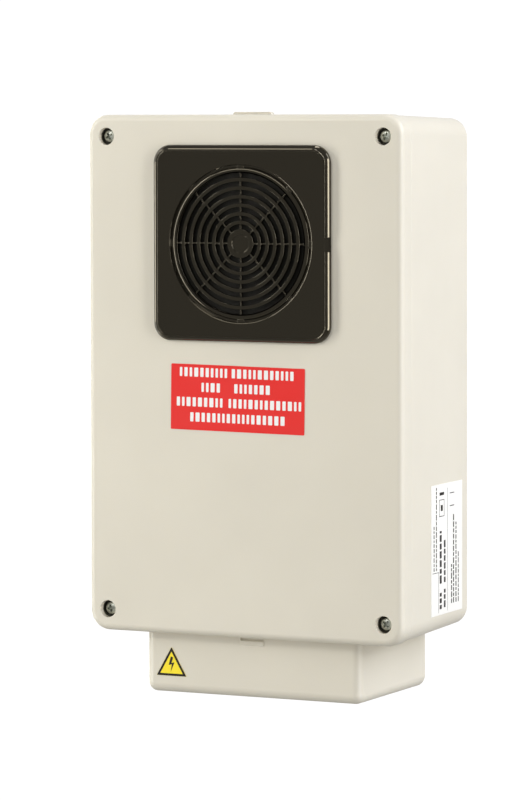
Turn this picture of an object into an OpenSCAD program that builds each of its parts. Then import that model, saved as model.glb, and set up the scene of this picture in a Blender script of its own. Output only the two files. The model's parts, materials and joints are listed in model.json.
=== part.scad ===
// Wall-mounted alarm siren: two-part housing, loudspeaker, circuit board, stand-by battery.
// Every piece is laid out with the housing on its back: X to the right, Y up the wall and
// Z out from the wall. upright() then stands the piece on the wall, front towards -Y.

/* [Housing] */
// Width of the front lid
case_w = 164; // [160:1:170]
// Height of the front lid
case_h = 245; // [240:1:250]
// Distance from the wall to the front of the lid
case_d = 79; // [78:1:86]
// Depth of the front lid's sides
lid_d = 10; // [9.5:0.1:10.5]
// Wall thickness of both housing halves
wall = 3; // [2.8:0.1:3.2]
// Radius of the four corners seen from the front
corner_r = 9.5; // [9:0.5:11]
// Rounding of the lid's front edge
edge_r = 3.2; // [2:0.1:3.4]
// Slope of the rear body's sides, in degrees
draft = 1.3; // [0.8:0.1:1.6]
// Gap between the lid's edge and the rear body
seam = 0.4; // [0.2:0.1:0.6]
// Width of the tab on top of the housing
tab_w = 20; // [14:1:26]

/* [Fasteners] */
// Distance of the lid screws from the lid's sides
screw_inset = 10; // [9.8:0.1:10.4]
// Diameter of the wells that the lid screws sit in
well_dia = 8.1; // [7.6:0.1:8.4]
// Depth of the screw heads below the lid's face
head_sink = 2.8; // [2.4:0.1:3.2]
// Diameter of a lid screw's head
head_dia = 6.3; // [6:0.1:7]
// Diameter of a lid screw's shank
shank_dia = 3.5; // [3:0.1:4]
// Radial clearance of a screw's shank in its hole
screw_play = 0.05; // [0.03:0.01:0.1]
// Diameter of the wall screw holes
wall_hole_dia = 5; // [4:0.5:6]
// Distance between the wall holes, side to side
wall_hole_dx = 116; // [110:1:120]
// Distance between the wall holes, up and down
wall_hole_dy = 210; // [200:1:212]

/* [Terminal compartment] */
// Width of the terminal cover at its front
cover_w = 113; // [112:0.1:114]
// How much wider the terminal cover is at the wall
cover_flare = 2.6; // [1:0.1:3]
// Drop of the terminal cover below the lid
cover_drop = 29.3; // [28:0.1:31]
// Rounding of the terminal cover's front edges
cover_r = 4.6; // [4:0.1:5]
// Wall thickness of the terminal cover
cover_wall = 2.5; // [2:0.1:3]
// Distance between the two cable grommets
grommet_dx = 60; // [50:1:70]
// Diameter of the hole through a grommet
cable_hole_dia = 7; // [6:0.5:9]

/* [Loudspeaker] */
// Height of the loudspeaker's centre above the middle of the housing
speaker_y = 62.4; // [61:0.1:63]
// Side of the square grille plate
grille_w = 91.8; // [90:0.1:92]
// Thickness of the grille plate
grille_t = 3; // [2.6:0.1:3.4]
// Distance between neighbouring slot rings
slot_pitch = 4; // [3.8:0.1:4.05]
// Width of a slot
slot_w = 2.3; // [1.8:0.1:2.5]
// Outer diameter of the loudspeaker
speaker_dia = 79; // [78:0.5:80]
// Diameter of the magnet
magnet_dia = 53; // [48:1:54]

/* [Electronics] */
// Width of the circuit board
board_w = 104; // [102:1:106]
// Length of the battery
battery_w = 97; // [94:1:98]
// Height of the battery, without its tabs
battery_h = 51; // [48:1:51]
// Thickness of the battery
battery_t = 25; // [22:1:25.5]
// Number of screw terminals
terminal_count = 10; // [4:1:12]

/* [Hidden] */
$fn = 48;

// Heights above the wall
rim_z = case_d - lid_d - seam;
part_z = case_d - lid_d;
lid_in_z = case_d - wall;
cover_z = part_z + 1;
// Rear body, a little smaller all round than the lid
lip = 0.4;
skin = 0.01;
base_w = case_w - 2 * lip;
base_h = case_h - 2 * lip;
case_bottom = -case_h / 2;
// Lid screws
screw_x = case_w / 2 - screw_inset;
screw_y = case_h / 2 - screw_inset - 0.2;
head_h = 2.4;
seat_z = case_d - head_sink - head_h;
shank_len = 24;
pillar_r = 7;
boss_r = 6;
// Terminal cover
cover_bottom = case_bottom - cover_drop;
cover_back_w = cover_w + cover_flare;
cover_back_r = cover_r + cover_flare / 2;
cover_gap = 0.25;
opening_w = cover_w - 2 * cover_wall - 1.3;
opening_z = 48;
plate_w = cover_back_w - 2 * cover_wall - 2 * cover_gap - 0.2;
pad_x = 6.2;
pad_y0 = case_bottom - 4.5;
pad_y1 = case_bottom - 2;
grommet_z = 40;
grommet_hole_r = 8;
hook_z = 63.2;
// Loudspeaker
frame_r = speaker_dia / 2;
lid_hole_r = 36;
flange_z = 73.5;
flange_t = 1;
ledge_z = 60.2;
top_plate_z = 51;
magnet_z = 41;
yoke_z = 37;
coil_r = 8.05;
clamp_r = frame_r + 3.9;
grille_r = 36.9;
grille_round = 8.5;
rib_z = case_d + 0.5;
rib_t = 1.9;
// Circuit board
board_z = 12;
board_t = 1.6;
top_z = board_z + board_t;
board_top = 20;
board_bottom = -146;
post_x = 47;
post_ys = [14, -50, -110, -141];
// Battery
battery_z = 3.5;
battery_y = 36;
strap_t = 1.2;
strap_w = 15;
// Fuse
fuse_pos = [-26, -106];
fuse_z = top_z + 6;
fuse_r = 2.6;
// Headers and the wires to them
wire_r = 0.8;
speaker_header_pos = [38, 8];
battery_header_pos = [-44, 2];
trimmer_pos = [-20, 6];
// Transformer
trafo_x = -20;
trafo_y = -74;
trafo_w = 48;
trafo_h = 40;
trafo_stack = 16;
trafo_z = top_z + 10;
// Small components
small_cap_spots = [[6, -14], [15, -14], [24, -14], [0, 6]];
resistor_spots = [[-38, -20], [-38, -25], [-38, -30], [-38, -35],
                  [-10, -14], [-10, -19], [34, -120], [34, -124]];
// Terminals
terminal_pitch = 7.62;
terminal_w = terminal_pitch * terminal_count;
terminal_y0 = -144;
terminal_y1 = -130;
terminal_t = 14;

// ---------- Helpers ----------

module upright() {
    rotate([90, 0, 0]) children();
}

module rounded_rect(w, h, r) {
    square([w - 2 * r, h], center = true);
    square([w, h - 2 * r], center = true);
    for (sx = [-1, 1], sy = [-1, 1])
        translate([sx * (w / 2 - r), sy * (h / 2 - r)]) circle(r = r);
}

module ring(outer, inner, z, t) {
    translate([0, 0, z]) difference() {
        cylinder(r = outer, h = t);
        translate([0, 0, -1]) cylinder(r = inner, h = t + 2);
    }
}

module block(x0, x1, y0, y1, z0, z1) {
    translate([x0, y0, z0]) cube([x1 - x0, y1 - y0, z1 - z0]);
}

// Distance that the rear body's sides have moved in at a given height above the wall
function taper(z) = (rim_z - z) * tan(draft);

// Solid of the rear body's outline, shrunk by inset, between two heights
module body_block(inset, z0, z1) {
    hull() for (z = [z0, z1 - skin])
        translate([0, 0, z]) linear_extrude(skin)
            rounded_rect(base_w - 2 * (inset + taper(z)), base_h - 2 * (inset + taper(z)),
                         corner_r - lip - inset, $fn = 32);
}

module at_lid_screws() {
    for (sx = [-1, 1], sy = [-1, 1])
        translate([sx * screw_x, sy * screw_y, 0]) children();
}

module at_speaker() {
    translate([0, speaker_y, 0]) children();
}

module at_speaker_clamps() {
    for (a = [45 : 90 : 315])
        translate([clamp_r * cos(a), speaker_y + clamp_r * sin(a), 0]) children();
}

module at_posts() {
    for (sx = [-1, 1], y = post_ys)
        translate([sx * post_x, y, 0]) children();
}

module at_clamp_feet() {
    for (y = [battery_y - 5.6, battery_y + battery_h + 5.6])
        translate([0, y, 0]) children();
}

// Points of a smooth curve through a few route points
function unit(v) = v / norm(v);
function curve_at(p, i, t) =
    let (a = p[max(i - 1, 0)], b = p[i], c = p[i + 1], d = p[min(i + 2, len(p) - 1)])
    0.5 * (2 * b + (c - a) * t + (2 * a - 5 * b + 4 * c - d) * t * t
           + (3 * b - a - 3 * c + d) * t * t * t);
function curve(p, steps) =
    [for (i = [0 : len(p) - 2], s = [0 : steps - 1]) curve_at(p, i, s / steps), p[len(p) - 1]];
function tangent(q, i) = unit(q[min(i + 1, len(q) - 1)] - q[max(i - 1, 0)]);
function normals(q, i, n) =
    let (t = tangent(q, i), m = unit(n - (n * t) * t))
    i == len(q) - 1 ? [m] : concat([m], normals(q, i + 1, m));

// Round wire along a route
module wire(route, r, start_normal, steps = 5, sides = 8) {
    q = curve(route, steps);
    ns = normals(q, 0, start_normal);
    rings = [for (i = [0 : len(q) - 1])
        let (t = tangent(q, i), b = cross(t, ns[i]))
        for (k = [0 : sides - 1])
            q[i] + r * (cos(360 * k / sides) * ns[i] + sin(360 * k / sides) * b)];
    last = (len(q) - 1) * sides;
    walls = [for (i = [0 : len(q) - 2], k = [0 : sides - 1])
        let (k2 = (k + 1) % sides)
        [i * sides + k, (i + 1) * sides + k, (i + 1) * sides + k2, i * sides + k2]];
    start_cap = [for (k = [0 : sides - 1]) k];
    end_cap = [for (k = [sides - 1 : -1 : 0]) last + k];
    polyhedron(rings, concat([start_cap, end_cap], walls));
}

// Cross-shaped driver recess
module cross_recess(reach, width, depth) {
    for (a = [0, 90])
        rotate([0, 0, a]) translate([-reach / 2, -width / 2, 0]) cube([reach, width, depth]);
}

// Small screw with its head on top of z = 0
module small_screw(shank_r, length, head_r, head_t) {
    difference() {
        union() {
            translate([0, 0, -length]) cylinder(r = shank_r, h = length);
            cylinder(r = head_r, h = head_t);
        }
        translate([0, 0, head_t - 1]) cross_recess(head_r * 1.2, 0.6, 2);
    }
}

// ---------- Housing ----------

module wall_holes() {
    for (sx = [-1, 1], sy = [-1, 1])
        translate([sx * wall_hole_dx / 2, sy * wall_hole_dy / 2, -1])
            cylinder(d = wall_hole_dia, h = 12);
}

module base_posts() {
    at_lid_screws() cylinder(r = pillar_r, h = part_z);
    for (sx = [-1, 1], sy = [-1, 1])
        translate([sx * wall_hole_dx / 2, sy * wall_hole_dy / 2, 0]) cylinder(r = 6, h = wall + 2);
    at_posts() cylinder(r = 3.5, h = board_z);
    at_clamp_feet() cylinder(r = 4, h = 10);
    // Cradle round the battery's corners
    for (sx = [-1, 1], y = [battery_y - 2.3, battery_y + battery_h + 0.3])
        translate([sx * (battery_w / 2 - 6) - 5, y, wall - 0.5]) cube([10, 2, 9]);
}

module base_shell() {
    color("antiquewhite") upright() difference() {
        union() {
            difference() {
                body_block(0, 0, rim_z);
                body_block(wall, wall, rim_z + 1);
            }
            block(-plate_w / 2, plate_w / 2, cover_bottom + cover_wall + 3, case_bottom + 5, 0, wall);
            base_posts();
            // Tab on top, at the parting line
            block(-tab_w / 2, tab_w / 2, case_h / 2 - 3, case_h / 2 + 1.2, rim_z - 3.2, rim_z - 0.2);
        }
        wall_holes();
        at_lid_screws() translate([0, 0, part_z - shank_len])
            cylinder(d = shank_dia + 2 * screw_play, h = shank_len + 1);
        at_posts() translate([0, 0, board_z - 8]) cylinder(r = 1.2, h = 9);
        at_clamp_feet() translate([0, 0, 4]) cylinder(r = 1.2, h = 8);
        // Opening for the board and its wiring, and the slot for the cover's hook
        block(-opening_w / 2, opening_w / 2, case_bottom - 2, case_bottom + 7, wall, opening_z);
        block(-6, 6, case_bottom - 2, case_bottom + 7, hook_z - 0.4, hook_z + 2.4);
    }
}

// Lid outline with a rounded front edge
module lid_block() {
    inner = corner_r - edge_r;
    shoulder = case_d - edge_r;
    profile = concat([[0, part_z], [corner_r, part_z]],
                     [for (a = [0 : 15 : 90]) [inner + edge_r * cos(a), shoulder + edge_r * sin(a)]],
                     [[0, case_d]]);
    hull() for (sx = [-1, 1], sy = [-1, 1])
        translate([sx * (case_w / 2 - corner_r), sy * (case_h / 2 - corner_r), 0])
            rotate_extrude($fn = 32) polygon(profile);
}

module front_lid() {
    lip_x = base_w / 2 - wall - 0.4;
    lip_y = base_h / 2 - wall - 0.4;
    lip_t = 1.6;
    run_x = screw_x - pillar_r - 2;
    run_y = screw_y - pillar_r - 2;
    color("linen") upright() difference() {
        union() {
            difference() {
                lid_block();
                translate([0, 0, part_z - 1]) linear_extrude(lid_in_z - part_z + 1)
                    rounded_rect(case_w - 2 * wall, case_h - 2 * wall, corner_r - wall);
            }
            at_lid_screws() translate([0, 0, part_z]) cylinder(r = boss_r, h = lid_in_z - part_z + 1);
            // Tongues that reach into the rear body
            for (s = [-1, 1]) {
                block(min(s * lip_x, s * (lip_x - lip_t)), max(s * lip_x, s * (lip_x - lip_t)),
                      -run_y, run_y, part_z - wall, lid_in_z + 1);
                block(-run_x, run_x, min(s * lip_y, s * (lip_y - lip_t)),
                      max(s * lip_y, s * (lip_y - lip_t)), part_z - wall, lid_in_z + 1);
            }
            at_speaker_clamps() translate([0, 0, flange_z]) cylinder(r = 3, h = lid_in_z - flange_z + 1);
        }
        at_lid_screws() {
            translate([0, 0, seat_z]) cylinder(d = well_dia, h = 10);
            translate([0, 0, part_z - 1]) cylinder(r = shank_dia / 2 + 0.3, h = 10);
        }
        at_speaker() translate([0, 0, lid_in_z - 1]) cylinder(r = lid_hole_r, h = 6);
        at_speaker_clamps() translate([0, 0, flange_z - 1]) cylinder(r = 1.2, h = 4.5);
        // Sockets for the grille's pegs
        at_grille_pegs() translate([0, 0, lid_in_z - 1]) cylinder(r = 1.6, h = 6);
    }
}

module lid_screw(sx, sy) {
    color("silver") upright() translate([sx * screw_x, sy * screw_y, seat_z]) {
        difference() {
            union() {
                cylinder(d = head_dia, h = head_h);
                translate([0, 0, -20]) cylinder(d = shank_dia, h = 20);
                translate([0, 0, -22]) cylinder(d1 = 1, d2 = shank_dia, h = 2);
            }
            translate([0, 0, head_h - 1.5]) cross_recess(3.6, 0.9, 3);
            translate([0, 0, head_h - 1.2]) rotate([0, 0, 45]) cross_recess(2.4, 0.4, 3);
        }
    }
}

// Outline of the terminal cover, shrunk by inset; it widens towards the wall
module cover_block(inset, top_y) {
    r = cover_r - inset;
    back_r = cover_back_r - inset;
    x = cover_w / 2 - cover_r;
    back_x = cover_back_w / 2 - cover_back_r;
    back_z = inset > 0 ? -1 : 0;
    hull() for (sx = [-1, 1]) {
        translate([sx * x, cover_bottom + cover_r, cover_z - cover_r]) sphere(r = r, $fn = 32);
        translate([sx * back_x, cover_bottom + cover_back_r, back_z])
            cylinder(r = back_r, h = skin, $fn = 32);
        translate([sx * x, top_y - skin, cover_z - cover_r]) rotate([-90, 0, 0])
            cylinder(r = r, h = skin, $fn = 32);
        translate([sx * (back_x + back_r / 2) - back_r / 2, top_y - skin, back_z])
            cube([back_r, skin, 1]);
    }
}

module grommet_holes(r, y, h) {
    for (sx = [-1, 1])
        translate([sx * grommet_dx / 2, y, grommet_z]) rotate([-90, 0, 0]) cylinder(r = r, h = h);
}

module terminal_cover() {
    top_y = case_bottom + 2.5;
    rib_y = cover_bottom + cover_wall - 0.5;
    side = cover_back_w / 2 - cover_wall;
    color("antiquewhite") upright() difference() {
        union() {
            difference() {
                cover_block(0, top_y);
                cover_block(cover_wall, top_y + 1);
            }
            // Ribs that run in front of the rear body's back plate
            for (sx = [-1, 1])
                block(min(sx * (side + 0.3), sx * (side - 3)), max(sx * (side + 0.3), sx * (side - 3)),
                      rib_y, case_bottom - 1, wall + 0.3, wall + 2.3);
            // Thumb pad of the latch
            block(-pad_x, pad_x, pad_y0, pad_y1, cover_z - 1, cover_z + 0.6);
            // Hook of the latch, reaching up through the rear body's bottom wall
            block(-5, 5, case_bottom - 6, case_bottom + 5, hook_z, hook_z + 2);
            block(-5, 5, case_bottom - 6, case_bottom - 3, hook_z, cover_z - 1);
        }
        // The top edge follows the sloping underside of the rear body, and then the lid
        difference() {
            body_block(-cover_gap, -2, rim_z + 2);
            block(-5.01, 5.01, case_bottom - 6, case_bottom + 6, hook_z, hook_z + 2);
        }
        block(-case_w / 2, case_w / 2, case_bottom - cover_gap, case_bottom + 6, rim_z - 0.3, case_d);
        // Notch above the thumb pad
        block(-pad_x, pad_x, pad_y1, case_bottom + 6, cover_z - 1.2, case_d);
        grommet_holes(grommet_hole_r, cover_bottom - 1, cover_wall + 2);
    }
}

module grommet(sx) {
    top = cover_wall + 0.05;
    color("dimgray") upright()
        translate([sx * grommet_dx / 2, cover_bottom, grommet_z]) rotate([-90, 0, 0])
            rotate_extrude() polygon([
                [cable_hole_dia / 2, -1.6], [9.6, -1.6], [10.4, -0.8], [10.4, 0],
                [grommet_hole_r - 0.05, 0], [grommet_hole_r - 0.05, top],
                [9.4, top], [8.6, top + 1.4], [cable_hole_dia / 2, top + 1.4]]);
}

// ---------- Labels ----------

module red_label() {
    color("red") upright() translate([-2.8, -10.35, case_d]) rotate([0, 0, -0.75])
        linear_extrude(0.2) square([69.7, 30.9], center = true);
}

module rating_label() {
    side = base_w / 2 - taper(0);
    color("white") upright() translate([side + 0.02, 0, 0]) rotate([0, draft, 0])
        translate([0, -112.1, 7.5]) cube([0.2, 61.4, 38]);
}

module warning_label() {
    color("gold") upright() translate([-42.6, cover_bottom + 8.3, cover_z])
        linear_extrude(0.2) polygon([[-7.5, 0], [7.5, 0], [0, 13]]);
}

// ---------- Loudspeaker ----------

module at_grille_pegs() {
    for (sx = [-1, 1], sy = [-1, 1])
        translate([sx * 39, speaker_y + sy * 39, 0]) children();
}

module slot_rings() {
    for (i = [0 : 6]) {
        r = 7.9 + slot_pitch * i;
        ring(r + slot_w / 2, r - slot_w / 2, rib_z - 1, rib_t + 3);
    }
}

module speaker_grille() {
    bead_r = 33.1;
    groove_r = 35.6;
    color("black") upright() {
        difference() {
            at_speaker() translate([0, 0, case_d]) linear_extrude(grille_t)
                rounded_rect(grille_w, grille_w, grille_round);
            // Pocket for the dust cloth behind, and the shallow dish in front
            at_speaker() translate([0, 0, case_d - 1]) cylinder(r = 38, h = 1.5);
            at_speaker() translate([0, 0, rib_z + rib_t]) cylinder(r = grille_r, h = 2);
            at_speaker() slot_rings();
            at_speaker() ring(grille_r, groove_r, rib_z + rib_t - 1, 3);
            at_speaker() translate([0, 0, rib_z + rib_t - 0.5]) cylinder(r = 4.4, h = 2);
        }
        // Eight thin spokes, each ending in a bridge over the groove
        at_speaker() for (a = [0 : 45 : 315]) rotate([0, 0, a]) {
            block(6, bead_r + 0.5, -0.4, 0.4, rib_z, rib_z + rib_t - 0.5);
            block(groove_r - 0.3, grille_r + 0.3, -1.6, 1.6, rib_z, rib_z + rib_t - 0.2);
        }
        at_grille_pegs() translate([0, 0, lid_in_z - 1]) cylinder(r = 1.5, h = 4.5);
    }
}

module dust_cloth() {
    color("black") upright() at_speaker() translate([0, 0, case_d]) cylinder(r = 37.7, h = 0.4);
}

module speaker_gasket() {
    color("dimgray") upright() at_speaker()
        ring(frame_r, 36.5, flange_z + flange_t, lid_in_z - flange_z - flange_t);
}

module speaker_basket() {
    color("silver") upright() at_speaker() difference() {
        rotate_extrude() polygon([
            [frame_r, flange_z], [33.2, flange_z], [21.6, ledge_z - 0.8], [19.2, ledge_z - 0.8],
            [19.2, 55], [9.6, 55], [9.6, 55.8], [18.4, 55.8], [18.4, ledge_z],
            [21.2, ledge_z], [33, flange_z + flange_t], [frame_r, flange_z + flange_t]]);
        // Six windows between the arms
        for (a = [0 : 60 : 300])
            rotate([0, 0, a]) block(22.4, 31.4, -8, 8, 58, 72);
    }
}

module speaker_screws() {
    color("silver") upright() at_speaker_clamps() {
        translate([0, 0, flange_z - 0.8]) difference() {
            cylinder(r = 5.2, h = 0.8);
            translate([0, 0, -1]) cylinder(r = 1.15, h = 3);
        }
        translate([0, 0, flange_z - 0.8]) mirror([0, 0, 1]) small_screw(1.15, 3.8, 2.6, 1.8);
    }
}

module speaker_surround() {
    roll = 2.4;
    mid = 30.9;
    base = flange_z + flange_t;
    color("dimgray") upright() at_speaker() rotate_extrude() polygon(concat(
        [[36.1, base], [36.1, base + 0.4]],
        [for (a = [0 : 15 : 180]) [mid + roll * cos(a), base + 0.4 + roll * sin(a)]],
        [[27.6, base + 0.4], [27.6, base]],
        [for (a = [180 : -15 : 0]) [mid + (roll - 0.4) * cos(a), base + (roll - 0.2) * sin(a)]]));
}

module speaker_cone() {
    // Shallow flare from the neck to the edge that the surround is glued to
    flare = [for (s = [0 : 0.1 : 1]) [coil_r + 0.2 + 20.2 * s, 61.4 + 12.3 * pow(s, 0.8)]];
    edge_z = flange_z + flange_t;
    color("darkslategray") upright() at_speaker() rotate_extrude() polygon(concat(
        flare,
        [[29, edge_z - 0.5], [29, edge_z - 0.01], [27.9, edge_z - 0.01]],
        [for (i = [10 : -1 : 0]) [flare[i][0] - 0.15, flare[i][1] + 0.5]]));
}

module dust_cap() {
    // Domed cap over the coil, standing on the cone
    color("black") upright() at_speaker() rotate_extrude() polygon(concat(
        [for (a = [0 : 10 : 90]) [9.6 * cos(a), 63.6 + 5 * sin(a)]],
        [for (a = [90 : -10 : 0]) [9.2 * cos(a), 63.6 + 4.6 * sin(a)]]));
}

module voice_coil() {
    color("goldenrod") upright() at_speaker() {
        ring(coil_r, coil_r - 0.2, 50, 13);
        ring(coil_r + 0.35, coil_r - 0.05, 50.5, 5.5);
    }
}

module spider() {
    inner = coil_r;
    wave = [for (r = [9 : 0.5 : 18]) [r, ledge_z + 0.2 + 0.5 * sin((r - 9) * 120)]];
    color("khaki") upright() at_speaker() rotate_extrude() polygon(concat(
        [[inner, ledge_z]],
        [for (p = wave) [p[0], p[1] - 0.2]],
        [[18.6, ledge_z], [20.8, ledge_z], [20.8, ledge_z + 0.4], [18.6, ledge_z + 0.4]],
        [for (i = [len(wave) - 1 : -1 : 0]) [wave[i][0], wave[i][1] + 0.2]],
        [[inner, ledge_z + 0.4]]));
}

module front_pole_plate() {
    color("silver") upright() at_speaker() ring(25, 8.9, top_plate_z, 55 - top_plate_z);
}

module magnet() {
    color("dimgray") upright() at_speaker() ring(magnet_dia / 2, 11, magnet_z, top_plate_z - magnet_z);
}

module rear_pole_plate() {
    color("silver") upright() at_speaker() {
        translate([0, 0, yoke_z]) cylinder(r = 25, h = magnet_z - yoke_z);
        translate([0, 0, magnet_z - 1]) cylinder(r = 7.5, h = 57 - magnet_z);
    }
}

module speaker_tag_strip() {
    y = speaker_y - 37;
    color("peru") upright() {
        block(-8, 8, y - 2, y + 2, flange_z - 1.2, flange_z);
        for (sx = [-1, 1])
            block(sx * 4.5 - 1.2, sx * 4.5 + 1.2, y - 0.3, y + 0.3, flange_z - 7, flange_z - 1);
    }
}

module speaker_header() {
    color("ivory") upright() translate([speaker_header_pos[0], speaker_header_pos[1], top_z])
        difference() {
            translate([-4.5, -3, 0]) cube([9, 6, 7]);
            translate([-3.7, -2.2, 1]) cube([7.4, 4.4, 7]);
        }
}

module speaker_plug() {
    color("ivory") upright() translate([speaker_header_pos[0], speaker_header_pos[1], top_z + 1.2])
        difference() {
            translate([-3.6, -2.1, 0]) cube([7.2, 4.2, 9]);
            for (sx = [-1, 1]) translate([sx * 1.8, 0, 6]) cylinder(r = 0.9, h = 4);
        }
}

// One of the two wires from the loudspeaker's tags to its plug
module speaker_lead(sx) {
    x = speaker_header_pos[0] + sx * 1.8;
    y = speaker_header_pos[1];
    tag_y = speaker_y - 37;
    wire([[sx * 4.5, tag_y - 1.2, flange_z - 5.5], [sx * 4.5, tag_y - 1.4, flange_z - 10],
          [sx * 5 + 5, tag_y - 4, flange_z - 17], [18 + sx * 2, tag_y - 9 + sx, 46],
          [x - 4, y + 4 - sx, 37], [x, y, 30], [x, y, 25], [x, y, top_z + 7.4]], wire_r, [1, 0, 0]);
}

module speaker_lead_red() {
    color("red") upright() speaker_lead(1);
}

module speaker_lead_black() {
    color("black") upright() speaker_lead(-1);
}

// ---------- Circuit board ----------

module circuit_board() {
    color("seagreen") upright() difference() {
        block(-board_w / 2, board_w / 2, board_bottom, board_top, board_z, top_z);
        at_posts() translate([0, 0, board_z - 1]) cylinder(r = 1.6, h = 4);
    }
}

module board_screws() {
    color("silver") upright() at_posts() translate([0, 0, top_z]) small_screw(1.15, 8.5, 2.75, 1.8);
}

// Mains transformer, lying on its side with its coil's axis up and down
module transformer_core() {
    leg = 8;
    color("slategray") upright() translate([trafo_x, trafo_y, trafo_z]) difference() {
        translate([-trafo_w / 2, -trafo_h / 2, 0]) cube([trafo_w, trafo_h, trafo_stack]);
        for (sx = [-1, 1])
            translate([sx * 12 - 4, -trafo_h / 2 + leg, -1]) cube([8, trafo_h - 2 * leg, trafo_stack + 2]);
    }
}

module transformer_bobbin() {
    y = trafo_h / 2 - 8.2;
    color("black") upright() translate([trafo_x, trafo_y, trafo_z]) {
        difference() {
            translate([-9.3, -y, -1.2]) cube([18.6, 2 * y, trafo_stack + 2.4]);
            translate([-8.2, -y - 1, -0.2]) cube([16.4, 2 * y + 2, trafo_stack + 0.4]);
        }
        // Flanges at both ends, with feet that reach down to the board
        for (s = [-1, 1]) difference() {
            translate([-15.8, s * (y - 0.6) - 0.6, -10]) cube([31.6, 1.2, trafo_stack + 17]);
            translate([-8.2, s * (y - 0.6) - 2, -0.2]) cube([16.4, 4, trafo_stack + 0.4]);
        }
    }
}

module transformer_winding() {
    y = trafo_h / 2 - 9.6;
    color("chocolate") upright() translate([trafo_x, trafo_y, trafo_z]) difference() {
        translate([-15.4, -y, -5.5]) cube([30.8, 2 * y, trafo_stack + 11]);
        translate([-9.4, -y - 1, -1.3]) cube([18.8, 2 * y + 2, trafo_stack + 2.6]);
    }
}

module relay() {
    color("steelblue") upright() block(14, 42, -107, -94.5, top_z, top_z + 15.5);
}

module rectifier() {
    color("black") upright() difference() {
        block(12, 32, -86, -82, top_z, top_z + 14);
        block(28, 33, -87, -84, top_z + 12, top_z + 15);
    }
}

module main_capacitor() {
    color("midnightblue") upright() translate([24, -65, top_z]) difference() {
        cylinder(r = 8, h = 25);
        translate([0, 0, 2.5]) ring(9, 7.5, 0, 0.8);
    }
}

module small_capacitors() {
    color("midnightblue") upright() for (p = small_cap_spots)
        translate([p[0], p[1], top_z]) difference() {
            cylinder(r = 3.2, h = 11);
            ring(4, 2.95, 1.4, 0.5);
        }
}

module heat_sink() {
    color("silver") upright() {
        block(18, 48, -38, -36, top_z, top_z + 25);
        for (x = [18 : 4 : 46])
            block(x, x + 2, -36.5, -26, top_z, top_z + 25);
    }
}

module amplifier_chip() {
    color("black") upright() {
        block(28, 38, -42.5, -38, top_z + 4, top_z + 13);
        block(28, 38, -39.3, -38, top_z + 12, top_z + 19);
        for (x = [29.2, 31.1, 33, 34.9, 36.8])
            block(x - 0.4, x + 0.4, -40.6, -40, top_z, top_z + 5);
    }
}

module control_chip() {
    color("black") upright() difference() {
        block(-16, 4, -34, -27.5, top_z + 0.8, top_z + 4.3);
        translate([-16, -30.75, top_z + 3.6]) cylinder(r = 1.2, h = 2);
    }
}

module resistors() {
    color("burlywood") upright() for (p = resistor_spots)
        translate([p[0], p[1], top_z + 1.6]) rotate([0, 90, 0]) {
            translate([0, 0, -3.3]) cylinder(r = 1.3, h = 6.6);
            translate([0, 0, -5]) cylinder(r = 0.3, h = 10);
            for (s = [-1, 1]) translate([1.6, 0, s * 4.7 - 0.3]) rotate([0, -90, 0])
                cylinder(r = 0.3, h = 1.9);
        }
}

module at_fuse() {
    translate([fuse_pos[0], fuse_pos[1], fuse_z]) children();
}

module fuse_clips() {
    color("silver") upright() at_fuse() for (s = [-1, 1]) {
        block(s * 7.6 - 2.2, s * 7.6 + 2.2, -fuse_r - 0.8, -fuse_r - 0.1, -6, 1.2);
        block(s * 7.6 - 2.2, s * 7.6 + 2.2, fuse_r + 0.1, fuse_r + 0.8, -6, 1.2);
        block(s * 7.6 - 2.2, s * 7.6 + 2.2, -fuse_r - 0.8, fuse_r + 0.8, -6, -fuse_r - 0.4);
    }
}

module fuse_glass() {
    color("lightblue") upright() at_fuse() rotate([0, 90, 0])
        translate([0, 0, -9.8]) difference() {
            cylinder(r = fuse_r - 0.25, h = 19.6);
            translate([0, 0, -1]) cylinder(r = fuse_r - 0.8, h = 22);
        }
}

module fuse_caps() {
    color("silver") upright() at_fuse() for (s = [-1, 1])
        rotate([0, s * 90, 0]) translate([0, 0, 5]) difference() {
            cylinder(r = fuse_r, h = 5.2);
            translate([0, 0, -1]) cylinder(r = fuse_r - 0.24, h = 5.8);
        }
}

module volume_trimmer() {
    color("royalblue") upright() translate([trimmer_pos[0], trimmer_pos[1], top_z]) difference() {
        translate([-5, -5, 0]) cube([10, 10, 5]);
        translate([0, 0, 2]) cylinder(r = 3, h = 5);
    }
}

module trimmer_rotor() {
    color("white") upright() translate([trimmer_pos[0], trimmer_pos[1], top_z + 2.1]) difference() {
        cylinder(r = 2.95, h = 3.2);
        translate([-2.2, -0.4, 2.4]) cube([4.4, 0.8, 2]);
    }
}

// ---------- Terminals ----------

module at_terminals() {
    for (i = [0 : terminal_count - 1])
        translate([-terminal_w / 2 + terminal_pitch * (i + 0.5), 0, 0]) children();
}

module terminal_block() {
    color("limegreen") upright() difference() {
        union() {
            block(-terminal_w / 2, terminal_w / 2, terminal_y0, terminal_y1, top_z, top_z + 9);
            block(-terminal_w / 2, terminal_w / 2, terminal_y0 + 3, terminal_y1, top_z, top_z + terminal_t);
        }
        at_terminals() {
            block(-2.4, 2.4, terminal_y0 - 1, terminal_y0 + 9, top_z + 2, top_z + 6.8);
            translate([0, terminal_y0 + 8, top_z + 8]) cylinder(r = 2.3, h = 8);
        }
    }
}

module terminal_screws() {
    color("silver") upright() at_terminals()
        translate([0, terminal_y0 + 8, top_z + 8]) difference() {
            cylinder(r = 2.2, h = 3.4);
            translate([-3, -0.4, 2.4]) cube([6, 0.8, 2]);
        }
}

// ---------- Battery ----------

module battery() {
    color("darkslategray") upright()
        block(-battery_w / 2, battery_w / 2, battery_y, battery_y + battery_h,
              battery_z, battery_z + battery_t);
}

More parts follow.
